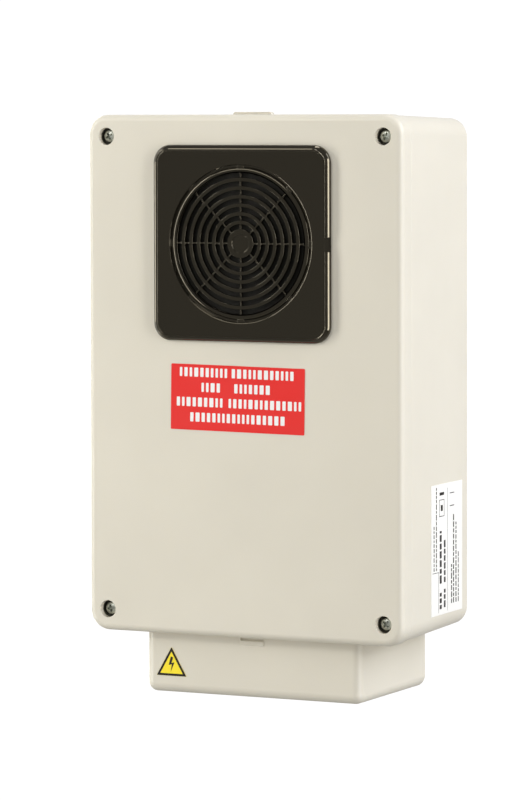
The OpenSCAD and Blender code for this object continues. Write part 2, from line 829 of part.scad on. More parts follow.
module battery_tabs() {
    color("silver") upright() for (sx = [-1, 1])
        block(sx * 41 - 2.4, sx * 41 + 2.4, battery_y + battery_h, battery_y + battery_h + 6, 15.6, 16.4);
}

module battery_connectors() {
    top = battery_y + battery_h;
    color("gold") upright() for (sx = [-1, 1]) difference() {
        block(sx * 41 - 3.4, sx * 41 + 3.4, top + 1, top + 13, 14.2, 17.8);
        block(sx * 41 - 2.45, sx * 41 + 2.45, top, top + 6.2, 15.55, 16.45);
        translate([sx * 41, top + 9, 16]) rotate([-90, 0, 0]) cylinder(r = 0.85, h = 5);
    }
}

module battery_clamp() {
    front = battery_z + battery_t + 0.1;
    y0 = battery_y - 0.1;
    y1 = battery_y + battery_h + 0.1;
    color("silver") upright() difference() {
        union() {
            block(-strap_w / 2, strap_w / 2, y0 - strap_t, y1 + strap_t, front, front + strap_t);
            block(-strap_w / 2, strap_w / 2, y0 - strap_t, y0, 10, front + 0.5);
            block(-strap_w / 2, strap_w / 2, y1, y1 + strap_t, 10, front + 0.5);
            block(-strap_w / 2, strap_w / 2, y0 - 10, y0, 10, 10 + strap_t);
            block(-strap_w / 2, strap_w / 2, y1, y1 + 10, 10, 10 + strap_t);
        }
        at_clamp_feet() translate([0, 0, 9]) cylinder(r = 1.6, h = 4);
    }
}

module clamp_screws() {
    color("silver") upright() at_clamp_feet() translate([0, 0, 10 + strap_t])
        small_screw(1.15, 7, 2.6, 1.8);
}

module battery_header() {
    color("ivory") upright() translate([battery_header_pos[0], battery_header_pos[1], top_z])
        difference() {
            translate([-3, -4.5, 0]) cube([6, 9, 7]);
            translate([-2.2, -3.7, 1]) cube([4.4, 7.4, 7]);
        }
}

module battery_plug() {
    color("ivory") upright() translate([battery_header_pos[0], battery_header_pos[1], top_z + 1.2])
        difference() {
            translate([-2.1, -3.6, 0]) cube([4.2, 7.2, 9]);
            for (s = [-1, 1]) translate([0, s * 1.8, 6]) cylinder(r = 0.9, h = 4);
        }
}

module battery_lead_red() {
    y = battery_header_pos[1] + 1.8;
    top = battery_y + battery_h + 10;
    color("red") upright() wire(
        [[-41, top, 16], [-41, top + 4, 16], [-41, top + 7, 16], [-47, top + 11, 15], [-55, top + 4, 13],
         [-57, 70, 11], [-57, 45, 12], [-55, 28, 18], [-48, 14, 28], [-44, y, 30], [-44, y, 25],
         [-44, y, top_z + 7.4]],
        wire_r, [0, 0, 1]);
}

module battery_lead_black() {
    y = battery_header_pos[1] - 1.8;
    top = battery_y + battery_h + 10;
    color("black") upright() wire(
        [[41, top, 16], [41, top + 4, 16], [41, top + 7, 16], [34, top + 10, 15], [10, top + 9, 13],
         [-30, top + 9, 11], [-52, top + 9, 10], [-60, top, 10], [-61, 70, 10], [-61, 40, 12],
         [-58, 20, 18], [-50, 6, 29], [-44, y, 31], [-44, y, 25], [-44, y, top_z + 7.4]],
        wire_r, [0, 0, 1]);
}

// ---------- Assembly ----------

base_shell();
front_lid();
terminal_cover();
lid_screw(-1, 1);  // lid_screw_top_left
lid_screw(1, 1);  // lid_screw_top_right
lid_screw(-1, -1);  // lid_screw_bottom_left
lid_screw(1, -1);  // lid_screw_bottom_right
grommet(-1);  // grommet_left
grommet(1);  // grommet_right
red_label();
rating_label();
warning_label();
speaker_grille();
dust_cloth();
speaker_gasket();
speaker_basket();
speaker_screws();
speaker_surround();
speaker_cone();
dust_cap();
voice_coil();
spider();
front_pole_plate();
magnet();
rear_pole_plate();
speaker_tag_strip();
circuit_board();
board_screws();
transformer_core();
transformer_bobbin();
transformer_winding();
relay();
rectifier();
main_capacitor();
small_capacitors();
amplifier_chip();
heat_sink();
control_chip();
resistors();
fuse_clips();
fuse_glass();
fuse_caps();
volume_trimmer();
trimmer_rotor();
speaker_header();
speaker_plug();
speaker_lead_red();
speaker_lead_black();
terminal_block();
terminal_screws();
battery();
battery_tabs();
battery_connectors();
battery_clamp();
clamp_screws();
battery_lead_red();
battery_lead_black();
battery_header();
battery_plug();
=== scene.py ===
"""Looks of the wall-mounted alarm siren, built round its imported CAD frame.

Most pieces are laid out as on a bench, in millimetres: x to the right, y up the wall and
z out from the wall. at() turns such a point into the row frame, in metres.
"""
import json
import random
from contextlib import contextmanager
from math import asin, cos, hypot, pi, radians, sin, sqrt, tan

import bmesh
import bpy
from mathutils import Matrix, Vector


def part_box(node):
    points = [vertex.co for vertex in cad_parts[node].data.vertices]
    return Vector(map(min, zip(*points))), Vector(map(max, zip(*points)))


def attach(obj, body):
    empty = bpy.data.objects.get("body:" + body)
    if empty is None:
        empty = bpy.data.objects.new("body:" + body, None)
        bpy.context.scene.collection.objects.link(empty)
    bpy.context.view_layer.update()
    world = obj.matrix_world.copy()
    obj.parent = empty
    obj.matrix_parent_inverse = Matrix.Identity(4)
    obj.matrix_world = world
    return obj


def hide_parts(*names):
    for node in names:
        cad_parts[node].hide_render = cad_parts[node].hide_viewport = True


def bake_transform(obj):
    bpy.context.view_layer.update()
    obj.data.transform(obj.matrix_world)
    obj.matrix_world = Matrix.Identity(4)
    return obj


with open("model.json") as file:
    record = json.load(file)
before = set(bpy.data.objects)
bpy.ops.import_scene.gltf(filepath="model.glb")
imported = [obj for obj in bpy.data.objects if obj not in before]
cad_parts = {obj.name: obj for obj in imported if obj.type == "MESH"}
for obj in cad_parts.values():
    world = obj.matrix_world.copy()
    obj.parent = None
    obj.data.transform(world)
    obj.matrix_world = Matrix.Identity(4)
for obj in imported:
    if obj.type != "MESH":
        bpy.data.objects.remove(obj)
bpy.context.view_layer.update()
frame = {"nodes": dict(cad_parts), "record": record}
MM = 0.001


# ---------- Sizes, in millimetres on the bench ----------

def bench_box(node):
    """Lowest and highest corner of a CAD node, in bench millimetres."""
    low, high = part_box(node)
    return (Vector((low.x, low.z, -high.y)) / MM, Vector((high.x, high.z, -low.y)) / MM)


BASE_HIGH = bench_box("base_shell")[1]
COVER_LOW, COVER_HIGH = bench_box("terminal_cover")
GRILLE_LOW, GRILLE_HIGH = bench_box("speaker_grille")
BOARD_LOW, BOARD_HIGH = bench_box("circuit_board")
RED_LOW, RED_HIGH = bench_box("red_label")
SIDES = (-1, 1)


def span(side, a, b):
    """The same stretch from a to b on one side or the other, lower end first."""
    return sorted((side * a, side * b))


def mirrored(x, y):
    """The four places x to the side of the middle and y above or below it."""
    return [(sx * x, sy * y) for sx in SIDES for sy in SIDES]


# Housing: half width and half height of the lid, then heights above the wall
LID_W, LID_H, FRONT = bench_box("front_lid")[1]
PARTING = FRONT - 10.0
LID_INNER = FRONT - 3.0
SEAM = 0.4
RIM = PARTING - SEAM
CORNER_R = 9.5
EDGE_R = 3.2
WALL = 3.0
LIP = 0.4
EASE = 0.3
TAPER = radians(1.3)
SLOPE = tan(TAPER)

# Lid screws, their wells, and the top of the painted shade at the bottom of the wells
SCREW_X = LID_W - 10.0
SCREW_Y = LID_H - 10.2
SCREW_PLACES = mirrored(SCREW_X, SCREW_Y)
SCREW_SEAT = FRONT - 5.2
HEAD_R = 3.1
HEAD_TOP = FRONT - 2.8
WELL_R = 4.05
PAINTED_SHADE_TOP = FRONT - 2.8

# Fixings and openings of the rear body
WALL_HOLES = mirrored(58, 105)
BOARD_POSTS = [(s * 47, y) for s in SIDES for y in (14, -50, -110)]
LOW_POSTS = [(s * 47, -141) for s in SIDES]
CLAMP_POSTS = [(0, 30.4), (0, 92.6)]
CRADLE_X = 42.5
CRADLE_YS = (33.7, 87.3)
OPENING_YS = (-124.5, -115.5)

# Terminal cover
COVER_FRONT = PARTING + 1.0
COVER_LOW_Y = COVER_LOW.y
COVER_WALL = 2.5
COVER_R = 4.6
COVER_FLARE = 1.3
LATCH_HALF = 6.2
HOOK_HALF = 5
HOOK_Z = 63.2
GROMMET_X = 30
GROMMET_Z = 40
GROMMET_R = 8

# Loudspeaker and grille
SPEAKER_Y = (GRILLE_LOW.y + GRILLE_HIGH.y) / 2
CLAMP_R = 43.4
SOUND_HOLE_R = 36
GRILLE_FRONT = GRILLE_HIGH.z
GRILLE_OPENING_R = 36.9
RIB_BACK = FRONT + 0.5
RIB_TOP = RIB_BACK + 1.9
RIB_PITCH = 4.0
RIB_SLOT = 2.3
SPOKES = 8
SPOKE_WIDTH = 0.8
SPOKE_DROP = 0.5
HUB_R = 4.9

# Labels: the print stands a little proud of its film
RED_X = -2.8
RED_Y = (RED_LOW.y + RED_HIGH.y) / 2
RED_HALF_W = 34.85
RED_HALF_H = 15.45
RED_TURN = radians(-0.75)
FILM = 0.18
PRINT_TOP = 0.2

# Circuit board: faces, and the height of its tracks and of its print
BOARD_TOP = BOARD_HIGH.z
BOARD_BACK = BOARD_LOW.z
TRACK = 0.035
BOARD_PRINT = 0.02
PRINT_LINE = 0.22


def at(x, y, z):
    """A bench point in the row frame."""
    return Vector((x * MM, -z * MM, y * MM))


def new_object(name, data):
    piece = bpy.data.objects.new(name, data)
    bpy.context.scene.collection.objects.link(piece)
    return piece


def circle(r, segments, cx=0.0, cy=0.0):
    """Points evenly round a circle."""
    turns = [2 * pi * i / segments for i in range(segments)]
    return [(cx + r * cos(a), cy + r * sin(a)) for a in turns]


def quarter(steps):
    """Sine and cosine at even steps from 0 to 90 degrees."""
    turns = [pi / 2 * i / steps for i in range(steps + 1)]
    return [(sin(a), cos(a)) for a in turns]


# ---------- Camera and light ----------

FILM_HEIGHT = 36.0
PHOTO_HEIGHT = 800
FOCAL_LENGTH = 4044  # in the photo's pixels
CAMERA_PLACE = (0.8439, -1.7631, 0.1230)
CAMERA_DOWN, CAMERA_ROLL, CAMERA_TURN = 2.36, 0.13, 26.34
LIGHT_TARGET = Vector((0, -0.04, -0.01))
FLOOR_RADIUS = 5.5
FLOOR_Z = -2.6
FLOOR_COLOUR = (0.72, 0.715, 0.7, 1)
BEHIND = (-0.44, 0.898, 0)
SKY_FADE = (0.74, 0.93)
SKY_GREY = 0.3
SKY_WHITE = 1.05

# Soft boxes: azimuth and height in degrees, distance, width and height in metres, watts and colour
LIGHTS = [
    ("key_right", 92, 31, 1.5, 1.0, 1.0, 16.2, (0.955, 0.995, 1.12)),
    ("edge_right", 69, 1, 2.2, 0.4, 1.8, 25.0, (1, 1, 1.01)),
    ("fill_left", -62, 4, 1.25, 0.24, 1.6, 15.4, (1, 1, 0.985)),
    ("fill_top", -22, 26, 2.0, 1.2, 0.35, 8.6, (1, 1, 0.99)),
    ("top_left", -80, 84, 1.8, 0.5, 0.5, 5, (1, 1, 1)),
    ("back_left", -130, 8, 1.8, 0.3, 2.6, 11, (1, 1, 1)),
]


def make_camera():
    """Long lens, a little above and to the right of the housing."""
    camera = bpy.data.cameras.new("camera")
    camera.sensor_fit = "VERTICAL"
    camera.sensor_height = FILM_HEIGHT
    camera.lens = FILM_HEIGHT * FOCAL_LENGTH / PHOTO_HEIGHT
    camera.shift_y = -0.15
    camera.clip_end = 50.0
    holder = new_object("camera", camera)
    holder.location = CAMERA_PLACE
    holder.rotation_euler = (radians(90 - CAMERA_DOWN), radians(CAMERA_ROLL),
                             radians(CAMERA_TURN))
    bpy.context.scene.camera = holder


def soft_light(name, azimuth, height, distance, wide, tall, power, colour):
    """Soft box that faces the housing; azimuth runs from its front round to its right side."""
    light = bpy.data.lights.new(name, "AREA")
    light.shape = "RECTANGLE"
    light.size, light.size_y = wide, tall
    light.energy = power
    light.color = colour
    holder = new_object(name, light)
    a, e = radians(azimuth), radians(height)
    way = Vector((sin(a) * cos(e), -cos(a) * cos(e), sin(e)))
    holder.location = LIGHT_TARGET + way * distance
    holder.rotation_euler = (-way).to_track_quat("-Z", "Y").to_euler()


def make_floor():
    """Round pale floor below the housing."""
    ring = [(x, y, FLOOR_Z) for x, y in circle(FLOOR_RADIUS, 96)]
    mesh = bpy.data.meshes.new("studio_floor")
    mesh.from_pydata(ring, [], [tuple(range(len(ring)))])
    floor = new_object("studio_floor", mesh)
    material = bpy.data.materials.new("studio_floor")
    material.use_nodes = True
    shader = material.node_tree.nodes["Principled BSDF"]
    shader.inputs["Base Color"].default_value = FLOOR_COLOUR
    shader.inputs["Roughness"].default_value = 0.9
    mesh.materials.append(material)


def make_sky():
    """World that is white behind the housing and fades to a soft grey in front of it."""
    world = bpy.data.worlds.new("studio")
    world.use_nodes = True
    tree = world.node_tree
    place = tree.nodes.new("ShaderNodeTexCoord")
    toward = tree.nodes.new("ShaderNodeVectorMath")
    toward.operation = "DOT_PRODUCT"
    toward.inputs[1].default_value = BEHIND
    fade = tree.nodes.new("ShaderNodeMapRange")
    fade.interpolation_type = "SMOOTHSTEP"
    for name, value in (("From Min", SKY_FADE[0]), ("From Max", SKY_FADE[1]),
                        ("To Min", SKY_GREY), ("To Max", SKY_WHITE)):
        fade.inputs[name].default_value = value
    tree.links.new(place.outputs["Generated"], toward.inputs[0])
    tree.links.new(toward.outputs["Value"], fade.inputs["Value"])
    sky = tree.nodes["Background"]
    sky.inputs["Color"].default_value = (1, 1, 1, 1)
    tree.links.new(fade.outputs["Result"], sky.inputs["Strength"])
    bpy.context.scene.world = world


def make_studio():
    """Pale floor, bright surroundings behind and soft boxes all round."""
    make_sky()
    make_floor()
    bpy.context.scene.view_settings.view_transform = "Standard"
    for light in LIGHTS:
        soft_light(*light)


make_camera()
make_studio()


# ---------- Materials ----------

class Surface:
    """A node material with helpers for noise, bump and colour variation."""

    def __init__(self, name, colour, roughness, metallic=0.0, specular=0.5):
        self.material = bpy.data.materials.new(name)
        self.material.use_nodes = True
        self.tree = self.material.node_tree
        self.shader = self.tree.nodes["Principled BSDF"]
        self.place = self.tree.nodes.new("ShaderNodeTexCoord")
        self.colour = tuple(colour)
        self.set("Base Color", (*colour, 1))
        self.set("Roughness", roughness)
        self.set("Metallic", metallic)
        self.set("Specular IOR Level", specular)
        self.material.diffuse_color = (*colour, 1)

    def set(self, name, value):
        self.shader.inputs[name].default_value = value
        return self

    def join(self, a, b):
        self.tree.links.new(a, b)

    def node(self, kind, **inputs):
        """A new node with some inputs set; _ in a name stands for a space."""
        node = self.tree.nodes.new("ShaderNode" + kind)
        for name, value in inputs.items():
            node.inputs[name.replace("_", " ")].default_value = value
        return node

    def noise(self, grain_mm, detail=3.0, stretch=(1, 1, 1)):
        """Noise whose lumps are about grain_mm across."""
        mapping = self.node("Mapping", Scale=stretch)
        noise = self.node("TexNoise", Scale=1000.0 / grain_mm, Detail=detail)
        self.join(self.place.outputs["Object"], mapping.inputs["Vector"])
        self.join(mapping.outputs["Vector"], noise.inputs["Vector"])
        return noise.outputs["Fac"]

    def stripes(self, pitch_mm, axis, profile="SIN", distort=0.0):
        """Parallel lines pitch_mm apart, across one row axis."""
        wave = self.node("TexWave", Scale=pi / 10 * 1000.0 / pitch_mm, Distortion=distort)
        wave.bands_direction = axis
        wave.wave_profile = profile
        self.join(self.place.outputs["Object"], wave.inputs["Vector"])
        return wave.outputs["Fac"]

    def spread(self, fac, low, high):
        """Maps the middle of a pattern's 0..1 onto a range of values."""
        node = self.node("MapRange", From_Min=0.3, From_Max=0.7, To_Min=low, To_Max=high)
        self.join(fac, node.inputs["Value"])
        return node.outputs["Result"]

    def vary_roughness(self, fac, low, high):
        self.join(self.spread(fac, low, high), self.shader.inputs["Roughness"])

    def vary_colour(self, fac, other, amount=1.0):
        """Mixes the base colour towards another one by a pattern."""
        mix = self.node("Mix")
        mix.data_type = "RGBA"
        mix.inputs["A"].default_value = (*self.colour, 1)
        mix.inputs["B"].default_value = (*other, 1)
        self.join(self.spread(fac, 0.0, amount), mix.inputs["Factor"])
        self.join(mix.outputs["Result"], self.shader.inputs["Base Color"])

    def bump(self, fac, depth_mm):
        """Adds relief of a real depth; calls stack."""
        node = self.node("Bump", Distance=depth_mm * MM, Strength=1.0)
        self.join(fac, node.inputs["Height"])
        normal = self.shader.inputs["Normal"]
        if normal.is_linked:
            self.join(normal.links[0].from_socket, node.inputs["Normal"])
        self.join(node.outputs["Normal"], normal)


def shade(colour, factor):
    return tuple(min(1.0, c * factor) for c in colour)


def moulded(name, colour, roughness, grain_mm=0.5, grain_depth=0.006, specular=0.5):
    """Injection-moulded plastic: fine grain, slow drift of tone and gloss."""
    surface = Surface(name, colour, roughness, specular=specular)
    surface.vary_colour(surface.noise(45, 2), shade(colour, 0.965))
    surface.vary_roughness(surface.noise(12, 4), roughness * 0.88, roughness * 1.12)
    surface.bump(surface.noise(grain_mm, 2), grain_depth)
    surface.bump(surface.noise(30, 1), 0.02)
    return surface


def plated(name, colour, roughness, streak=(1, 1, 1)):
    """Plated or bare metal with faint streaks and stains."""
    surface = Surface(name, colour, roughness, metallic=1.0)
    surface.vary_colour(surface.noise(3, 4), shade(colour, 0.82))
    surface.vary_roughness(surface.noise(0.8, 3, streak), roughness * 0.7, roughness * 1.4)
    surface.bump(surface.noise(0.3, 2, streak), 0.004)
    return surface


def woven(name, colour, pitch_mm):
    """Plain weave: two crossing sets of threads."""
    surface = Surface(name, colour, 0.9, specular=0.2)
    surface.vary_colour(surface.noise(2, 3), shade(colour, 1.5))
    for axis in "XZ":
        surface.bump(surface.stripes(pitch_mm, axis), 0.08)
    surface.set("Sheen Weight", 0.2)
    return surface


def patched(name, colour, roughness, metallic, specular, patch_mm, detail, other):
    """Plain surface with patches of another tone."""
    surface = Surface(name, colour, roughness, metallic, specular)
    surface.vary_colour(surface.noise(patch_mm, detail), other)
    return surface


# Each material slot's name, colour, roughness, and its grain size, grain depth and specular
# where they aren't the usual ones
MOULDED = {
    "housing": ("housing_plastic", (0.70, 0.655, 0.545), 0.42, 0.45, 0.005, 0.45),
    "black_plastic": ("grille_plastic", (0.0068, 0.0058, 0.004), 0.08, 0.35, 0.0015, 0.85),
    # Painted shade for the bottoms of the screw wells, where shadow falls round the heads
    "well_grime": ("well_grime", (0.13, 0.125, 0.095), 0.6, 0.5, 0.01, 0.3),
    "rubber": ("black_rubber", (0.02, 0.02, 0.02), 0.62, 0.8, 0.01, 0.3),
    "red_film": ("red_film", (0.77, 0.028, 0.023), 0.35, 1.5, 0.002, 0.4),
    "white_film": ("white_film", (0.87, 0.85, 0.79), 0.4, 1.5, 0.002, 0.4),
    "yellow_film": ("yellow_film", (0.95, 0.76, 0.035), 0.35, 1.5, 0.002, 0.4),
    "white_ink": ("white_ink", (0.86, 0.85, 0.82), 0.45, 1.0, 0.002, 0.35),
    "dark_ink": ("dark_ink", (0.016, 0.012, 0.01), 0.5, 1.0, 0.002, 0.3),
    "foam": ("foam", (0.035, 0.035, 0.037), 0.95, 0.7, 0.08, 0.1),
    "fibre": ("phenolic_fibre", (0.24, 0.11, 0.045), 0.6, 0.8, 0.02, 0.3),
    "board_trace": ("masked_trace", (0.03, 0.23, 0.085), 0.3, 0.5, 0.002, 0.55),
    "sleeve_stripe": ("sleeve_stripe", (0.42, 0.46, 0.55), 0.35, 0.6, 0.003),
    "band_black": ("resistor_band", (0.02, 0.018, 0.02), 0.4, 0.5, 0.003),
    "relay_blue": ("relay_case", (0.02, 0.10, 0.32), 0.28, 0.6, 0.003),
    "capacitor_sleeve": ("capacitor_sleeve", (0.012, 0.02, 0.09), 0.3, 0.8, 0.004),
    "chip_epoxy": ("chip_epoxy", (0.018, 0.018, 0.02), 0.6, 0.3, 0.012, 0.35),
    "resistor_body": ("resistor_lacquer", (0.56, 0.38, 0.19), 0.4, 0.6, 0.01),
    "trimmer_blue": ("trimmer_blue", (0.015, 0.10, 0.42), 0.35, 0.5, 0.004),
    "nylon_white": ("natural_nylon", (0.75, 0.73, 0.66), 0.45, 0.5, 0.005),
    "wire_red": ("red_insulation", (0.50, 0.015, 0.012), 0.4, 0.6, 0.004),
    "wire_black": ("black_insulation", (0.014, 0.014, 0.014), 0.4, 0.6, 0.004),
    "terminal_green": ("terminal_green", (0.02, 0.24, 0.07), 0.38, 0.5, 0.004),
    "battery_case": ("battery_case", (0.035, 0.038, 0.045), 0.5, 0.6, 0.012),
    "silk_white": ("silk_print", (0.8, 0.8, 0.76), 0.6, 0.5, 0.002, 0.3),
}
PLATED = {
    "screw_zinc": ("screw_zinc", (0.66, 0.68, 0.6), 0.42),
    # Dark metal for the flanks of the screw heads: painted shade for the gap round each head
    "screw_flank": ("screw_flank", (0.07, 0.072, 0.055), 0.4),
    "steel": ("pressed_steel", (0.56, 0.56, 0.54), 0.38),
    "aluminium": ("extruded_aluminium", (0.72, 0.73, 0.74), 0.34, (1, 0.04, 1)),
    "tin": ("tin", (0.68, 0.68, 0.65), 0.3),
    "brass": ("stamped_brass", (0.70, 0.48, 0.16), 0.3),
    "solder": ("solder", (0.62, 0.63, 0.63), 0.25),
}
WOVEN = {
    "cloth": ("grille_cloth", (0.008, 0.007, 0.0045), 0.5),
    "spider_cloth": ("spider_cloth", (0.45, 0.27, 0.07), 0.6),
}


# Name, colour, roughness, metallic, specular, size and detail of the patches, and their colour
PATCHED = {
    "paper_cone": ("cone_paper", (0.035, 0.035, 0.036), 0.85, 0, 0.2, 1.2, 4, (0.06, 0.058, 0.055)),
    "copper": ("enamelled_copper", (0.62, 0.22, 0.07), 0.3, 0.9, 0.5, 4, 2, (0.42, 0.13, 0.04)),
    "ferrite": ("ferrite", (0.045, 0.045, 0.05), 0.55, 0, 0.5, 1.5, 5, (0.075, 0.075, 0.08)),
    "board_green": ("solder_resist", (0.012, 0.13, 0.05), 0.32, 0, 0.55, 25, 3, (0.02, 0.17, 0.07)),
    "laminations": ("laminations", (0.10, 0.105, 0.115), 0.5, 0.8, 0.5, 3, 4, (0.17, 0.15, 0.13)),
}

# Relief added to a material: the pattern, its settings and its depth
RELIEF = [
    ("screw_zinc", Surface.noise, (0.7, 4), 0.05),
    ("paper_cone", Surface.noise, (0.6, 4), 0.05),
    ("ferrite", Surface.noise, (0.5, 4), 0.03),
    ("copper", Surface.stripes, (0.45, "Z"), 0.14),
    ("board_green", Surface.stripes, (0.9, "X"), 0.008),
    ("board_green", Surface.stripes, (0.9, "Z"), 0.008),
    ("laminations", Surface.stripes, (0.5, "Y", "SAW", 0.3), 0.12),
]


def make_materials():
    """Blender material of each slot."""
    made = {}
    for table, finish in ((MOULDED, moulded), (PLATED, plated), (WOVEN, woven), (PATCHED, patched)):
        for slot, values in table.items():
            made[slot] = finish(*values)

    housing = made["housing"]
    housing.set("Subsurface Weight", 0.06).set("Subsurface Radius", (0.9, 0.75, 0.5))
    housing.set("Subsurface Scale", 0.0015)
    made["black_plastic"].set("Specular Tint", (1.0, 0.88, 0.64, 1))
    for slot, pattern, settings, depth in RELIEF:
        made[slot].bump(pattern(made[slot], *settings), depth)

    glass = made["glass"] = Surface("fuse_glass", (0.9, 0.95, 0.95), 0.04)
    glass.set("Transmission Weight", 1.0).set("IOR", 1.5)
    glass.vary_roughness(glass.noise(3, 3), 0.02, 0.08)
    return {slot: surface.material for slot, surface in made.items()}


MATERIALS = make_materials()
SLOT_OF = {s["node"]: s["material_slot"] for s in frame["record"]["subparts"]}
BODY_OF = {n: body for body, nodes in frame["record"]["behaviour"]["bodies"].items() for n in nodes}


# ---------- Mesh helpers ----------

@contextmanager
def editing(mesh):
    """A bmesh of a mesh, written back to it afterwards."""
    work = bmesh.new()
    work.from_mesh(mesh)
    yield work
    work.to_mesh(mesh)
    work.free()


def mesh_piece(name, points, faces, weld=False):
    """Object from bench points; weld merges points that fall together."""
    mesh = bpy.data.meshes.new(name)
    mesh.from_pydata([at(*p) for p in points], [], faces)
    with editing(mesh) as work:
        if weld:
            bmesh.ops.remove_doubles(work, verts=work.verts, dist=1e-7)
            bmesh.ops.dissolve_degenerate(work, edges=work.edges, dist=1e-7)
        bmesh.ops.recalc_face_normals(work, faces=work.faces)
    return new_object(name, mesh)


def rounded_ring(half_w, half_h, r, z, cx=0.0, cy=0.0, steps=12):
    """Points of a rounded rectangle at height z, anticlockwise."""
    points = []
    for k, (sx, sy) in enumerate(((1, 1), (-1, 1), (-1, -1), (1, -1))):
        for i in range(steps + 1):
            a = pi / 2 * (k + i / steps)
            points.append((cx + sx * (half_w - r) + r * cos(a),
                           cy + sy * (half_h - r) + r * sin(a), z))
    return points


def loft(name, rings):
    """Closed skin through rings of equal length, capped at both ends."""
    n = len(rings[0])
    points = [p for ring in rings for p in ring]
    faces = []
    for k in range(len(rings) - 1):
        for i in range(n):
            j = (i + 1) % n
            faces.append((k * n + i, k * n + j, (k + 1) * n + j, (k + 1) * n + i))
    faces.append(tuple(range(n - 1, -1, -1)))
    faces.append(tuple((len(rings) - 1) * n + i for i in range(n)))
    return mesh_piece(name, points, faces)


def prism(name, outline, z0, z1):
    return loft(name, [[(x, y, z) for x, y in outline] for z in (z0, z1)])


def lathe(name, profile, cx=0.0, cy=0.0, segments=96):
    """Closed profile of (radius, z) points turned round an axis out from the wall."""
    n = len(profile)
    points = []
    for i in range(segments):
        a = 2 * pi * i / segments
        points += [(cx + r * cos(a), cy + r * sin(a), z) for r, z in profile]
    faces = []
    for i in range(segments):
        i2 = (i + 1) % segments
        for k in range(n):
            k2 = (k + 1) % n
            faces.append((i * n + k, i2 * n + k, i2 * n + k2, i * n + k2))
    return mesh_piece(name, points, faces, weld=True)


def disc(name, r, z0, z1, cx=0.0, cy=0.0, segments=48):
    return lathe(name, [(0, z0), (r, z0), (r, z1), (0, z1)], cx, cy, segments)


def discs(name, r, z0, z1, places, segments=48):
    return [disc(name, r, z0, z1, x, y, segments) for x, y in places]


def block(name, x0, x1, y0, y1, z0, z1):
    points = [(x, y, z) for z in (z0, z1) for y in (y0, y1) for x in (x0, x1)]
    faces = [(0, 2, 3, 1), (4, 5, 7, 6), (0, 1, 5, 4), (2, 6, 7, 3), (0, 4, 6, 2), (1, 3, 7, 5)]
    return mesh_piece(name, points, faces)


def joined(name, pieces):
    """One object holding the meshes of several, each left as its own shell."""
    work = bmesh.new()
    for piece in pieces:
        work.from_mesh(piece.data)
    mesh = bpy.data.meshes.new(name)
    work.to_mesh(mesh)
    work.free()
    for piece in pieces:
        bpy.data.objects.remove(piece)
    return new_object(name, mesh)


def combine(piece, others, operation):
    """Boolean of one piece with several, which are used up."""
    for other in others:
        modifier = piece.modifiers.new("combine", "BOOLEAN")
        modifier.operation = operation
        modifier.solver = "EXACT"
        modifier.object = other
        graph = bpy.context.evaluated_depsgraph_get()
        mesh = bpy.data.meshes.new_from_object(piece.evaluated_get(graph))
        piece.modifiers.clear()
        piece.data = mesh
        bpy.data.objects.remove(other)
    return piece


def cut(piece, *others):
    return combine(piece, others, "DIFFERENCE")


def fuse(piece, *others):
    return combine(piece, others, "UNION")


def bevel_edges(piece, width_mm, keep, segments):
    """Rounds the edges whose two end points both pass keep, given in bench millimetres."""
    def bench(v):
        return Vector((v.co.x, v.co.z, -v.co.y)) / MM

    with editing(piece.data) as work:
        edges = [e for e in work.edges if keep(bench(e.verts[0]), bench(e.verts[1]))]
        bmesh.ops.bevel(work, geom=edges, offset=width_mm * MM, segments=segments, profile=0.5,
                        affect="EDGES")


def smooth(piece, angle):
    """Smooth shading with sharp edges where faces meet at more than an angle."""
    limit = radians(angle)
    with editing(piece.data) as work:
        for face in work.faces:
            face.smooth = True
        for edge in work.edges:
            edge.smooth = len(edge.link_faces) == 2 and edge.calc_face_angle(0) < limit


def dress(piece, material, body, nodes=(), bevel=0.0, angle=35):
    """Gives a piece its finish, its fine edge rounding and the body it rides on."""
    smooth(piece, angle)
    piece.data.materials.clear()
    piece.data.materials.append(MATERIALS[material])
    if bevel:
        modifier = piece.modifiers.new("edges", "BEVEL")
        modifier.width = bevel * MM
        modifier.segments = 2
        modifier.limit_method = "ANGLE"
        modifier.angle_limit = radians(angle)
        modifier.use_clamp_overlap = False
    normals = piece.modifiers.new("normals", "WEIGHTED_NORMAL")
    normals.keep_sharp = True
    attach(piece, body)
    if nodes:
        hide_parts(*nodes)


def from_cad(node, name=""):
    """A welded copy of a CAD node's mesh, to be worked on."""
    name = name or node + "_piece"
    source = frame["nodes"][node]
    work = bmesh.new()
    work.from_mesh(source.data)
    bmesh.ops.remove_doubles(work, verts=work.verts, dist=2e-6)
    bmesh.ops.dissolve_limit(work, angle_limit=radians(1), verts=work.verts, edges=work.edges)
    mesh = bpy.data.meshes.new(name)
    work.to_mesh(mesh)
    work.free()
    return new_object(name, mesh)


# ---------- Housing ----------

def lid_inside():
    """Screw bosses, loudspeaker clamp bosses and the lip, all behind the lid's face."""
    low, deep = PARTING - WALL, LID_INNER + 1
    parts = discs("boss", 6, PARTING, deep, SCREW_PLACES)
    clamp = CLAMP_R / sqrt(2)
    clamps = [(x, SPEAKER_Y + y) for x, y in mirrored(clamp, clamp)]
    parts += discs("clamp_boss", 3, 73.5, deep, clamps)
    thick, clear = 1.6, 9
    lip_x, lip_y, run_x, run_y = LID_W - 3.8, LID_H - 3.8, SCREW_X - clear, SCREW_Y - clear
    for s in SIDES:
        parts.append(block("lip", *span(s, lip_x, lip_x - thick), -run_y, run_y, low, deep))
        parts.append(block("lip", -run_x, run_x, *span(s, lip_y, lip_y - thick), low, deep))
    return parts


def lid_ring(inset, z):
    return rounded_ring(LID_W - inset, LID_H - inset, CORNER_R - inset, z)


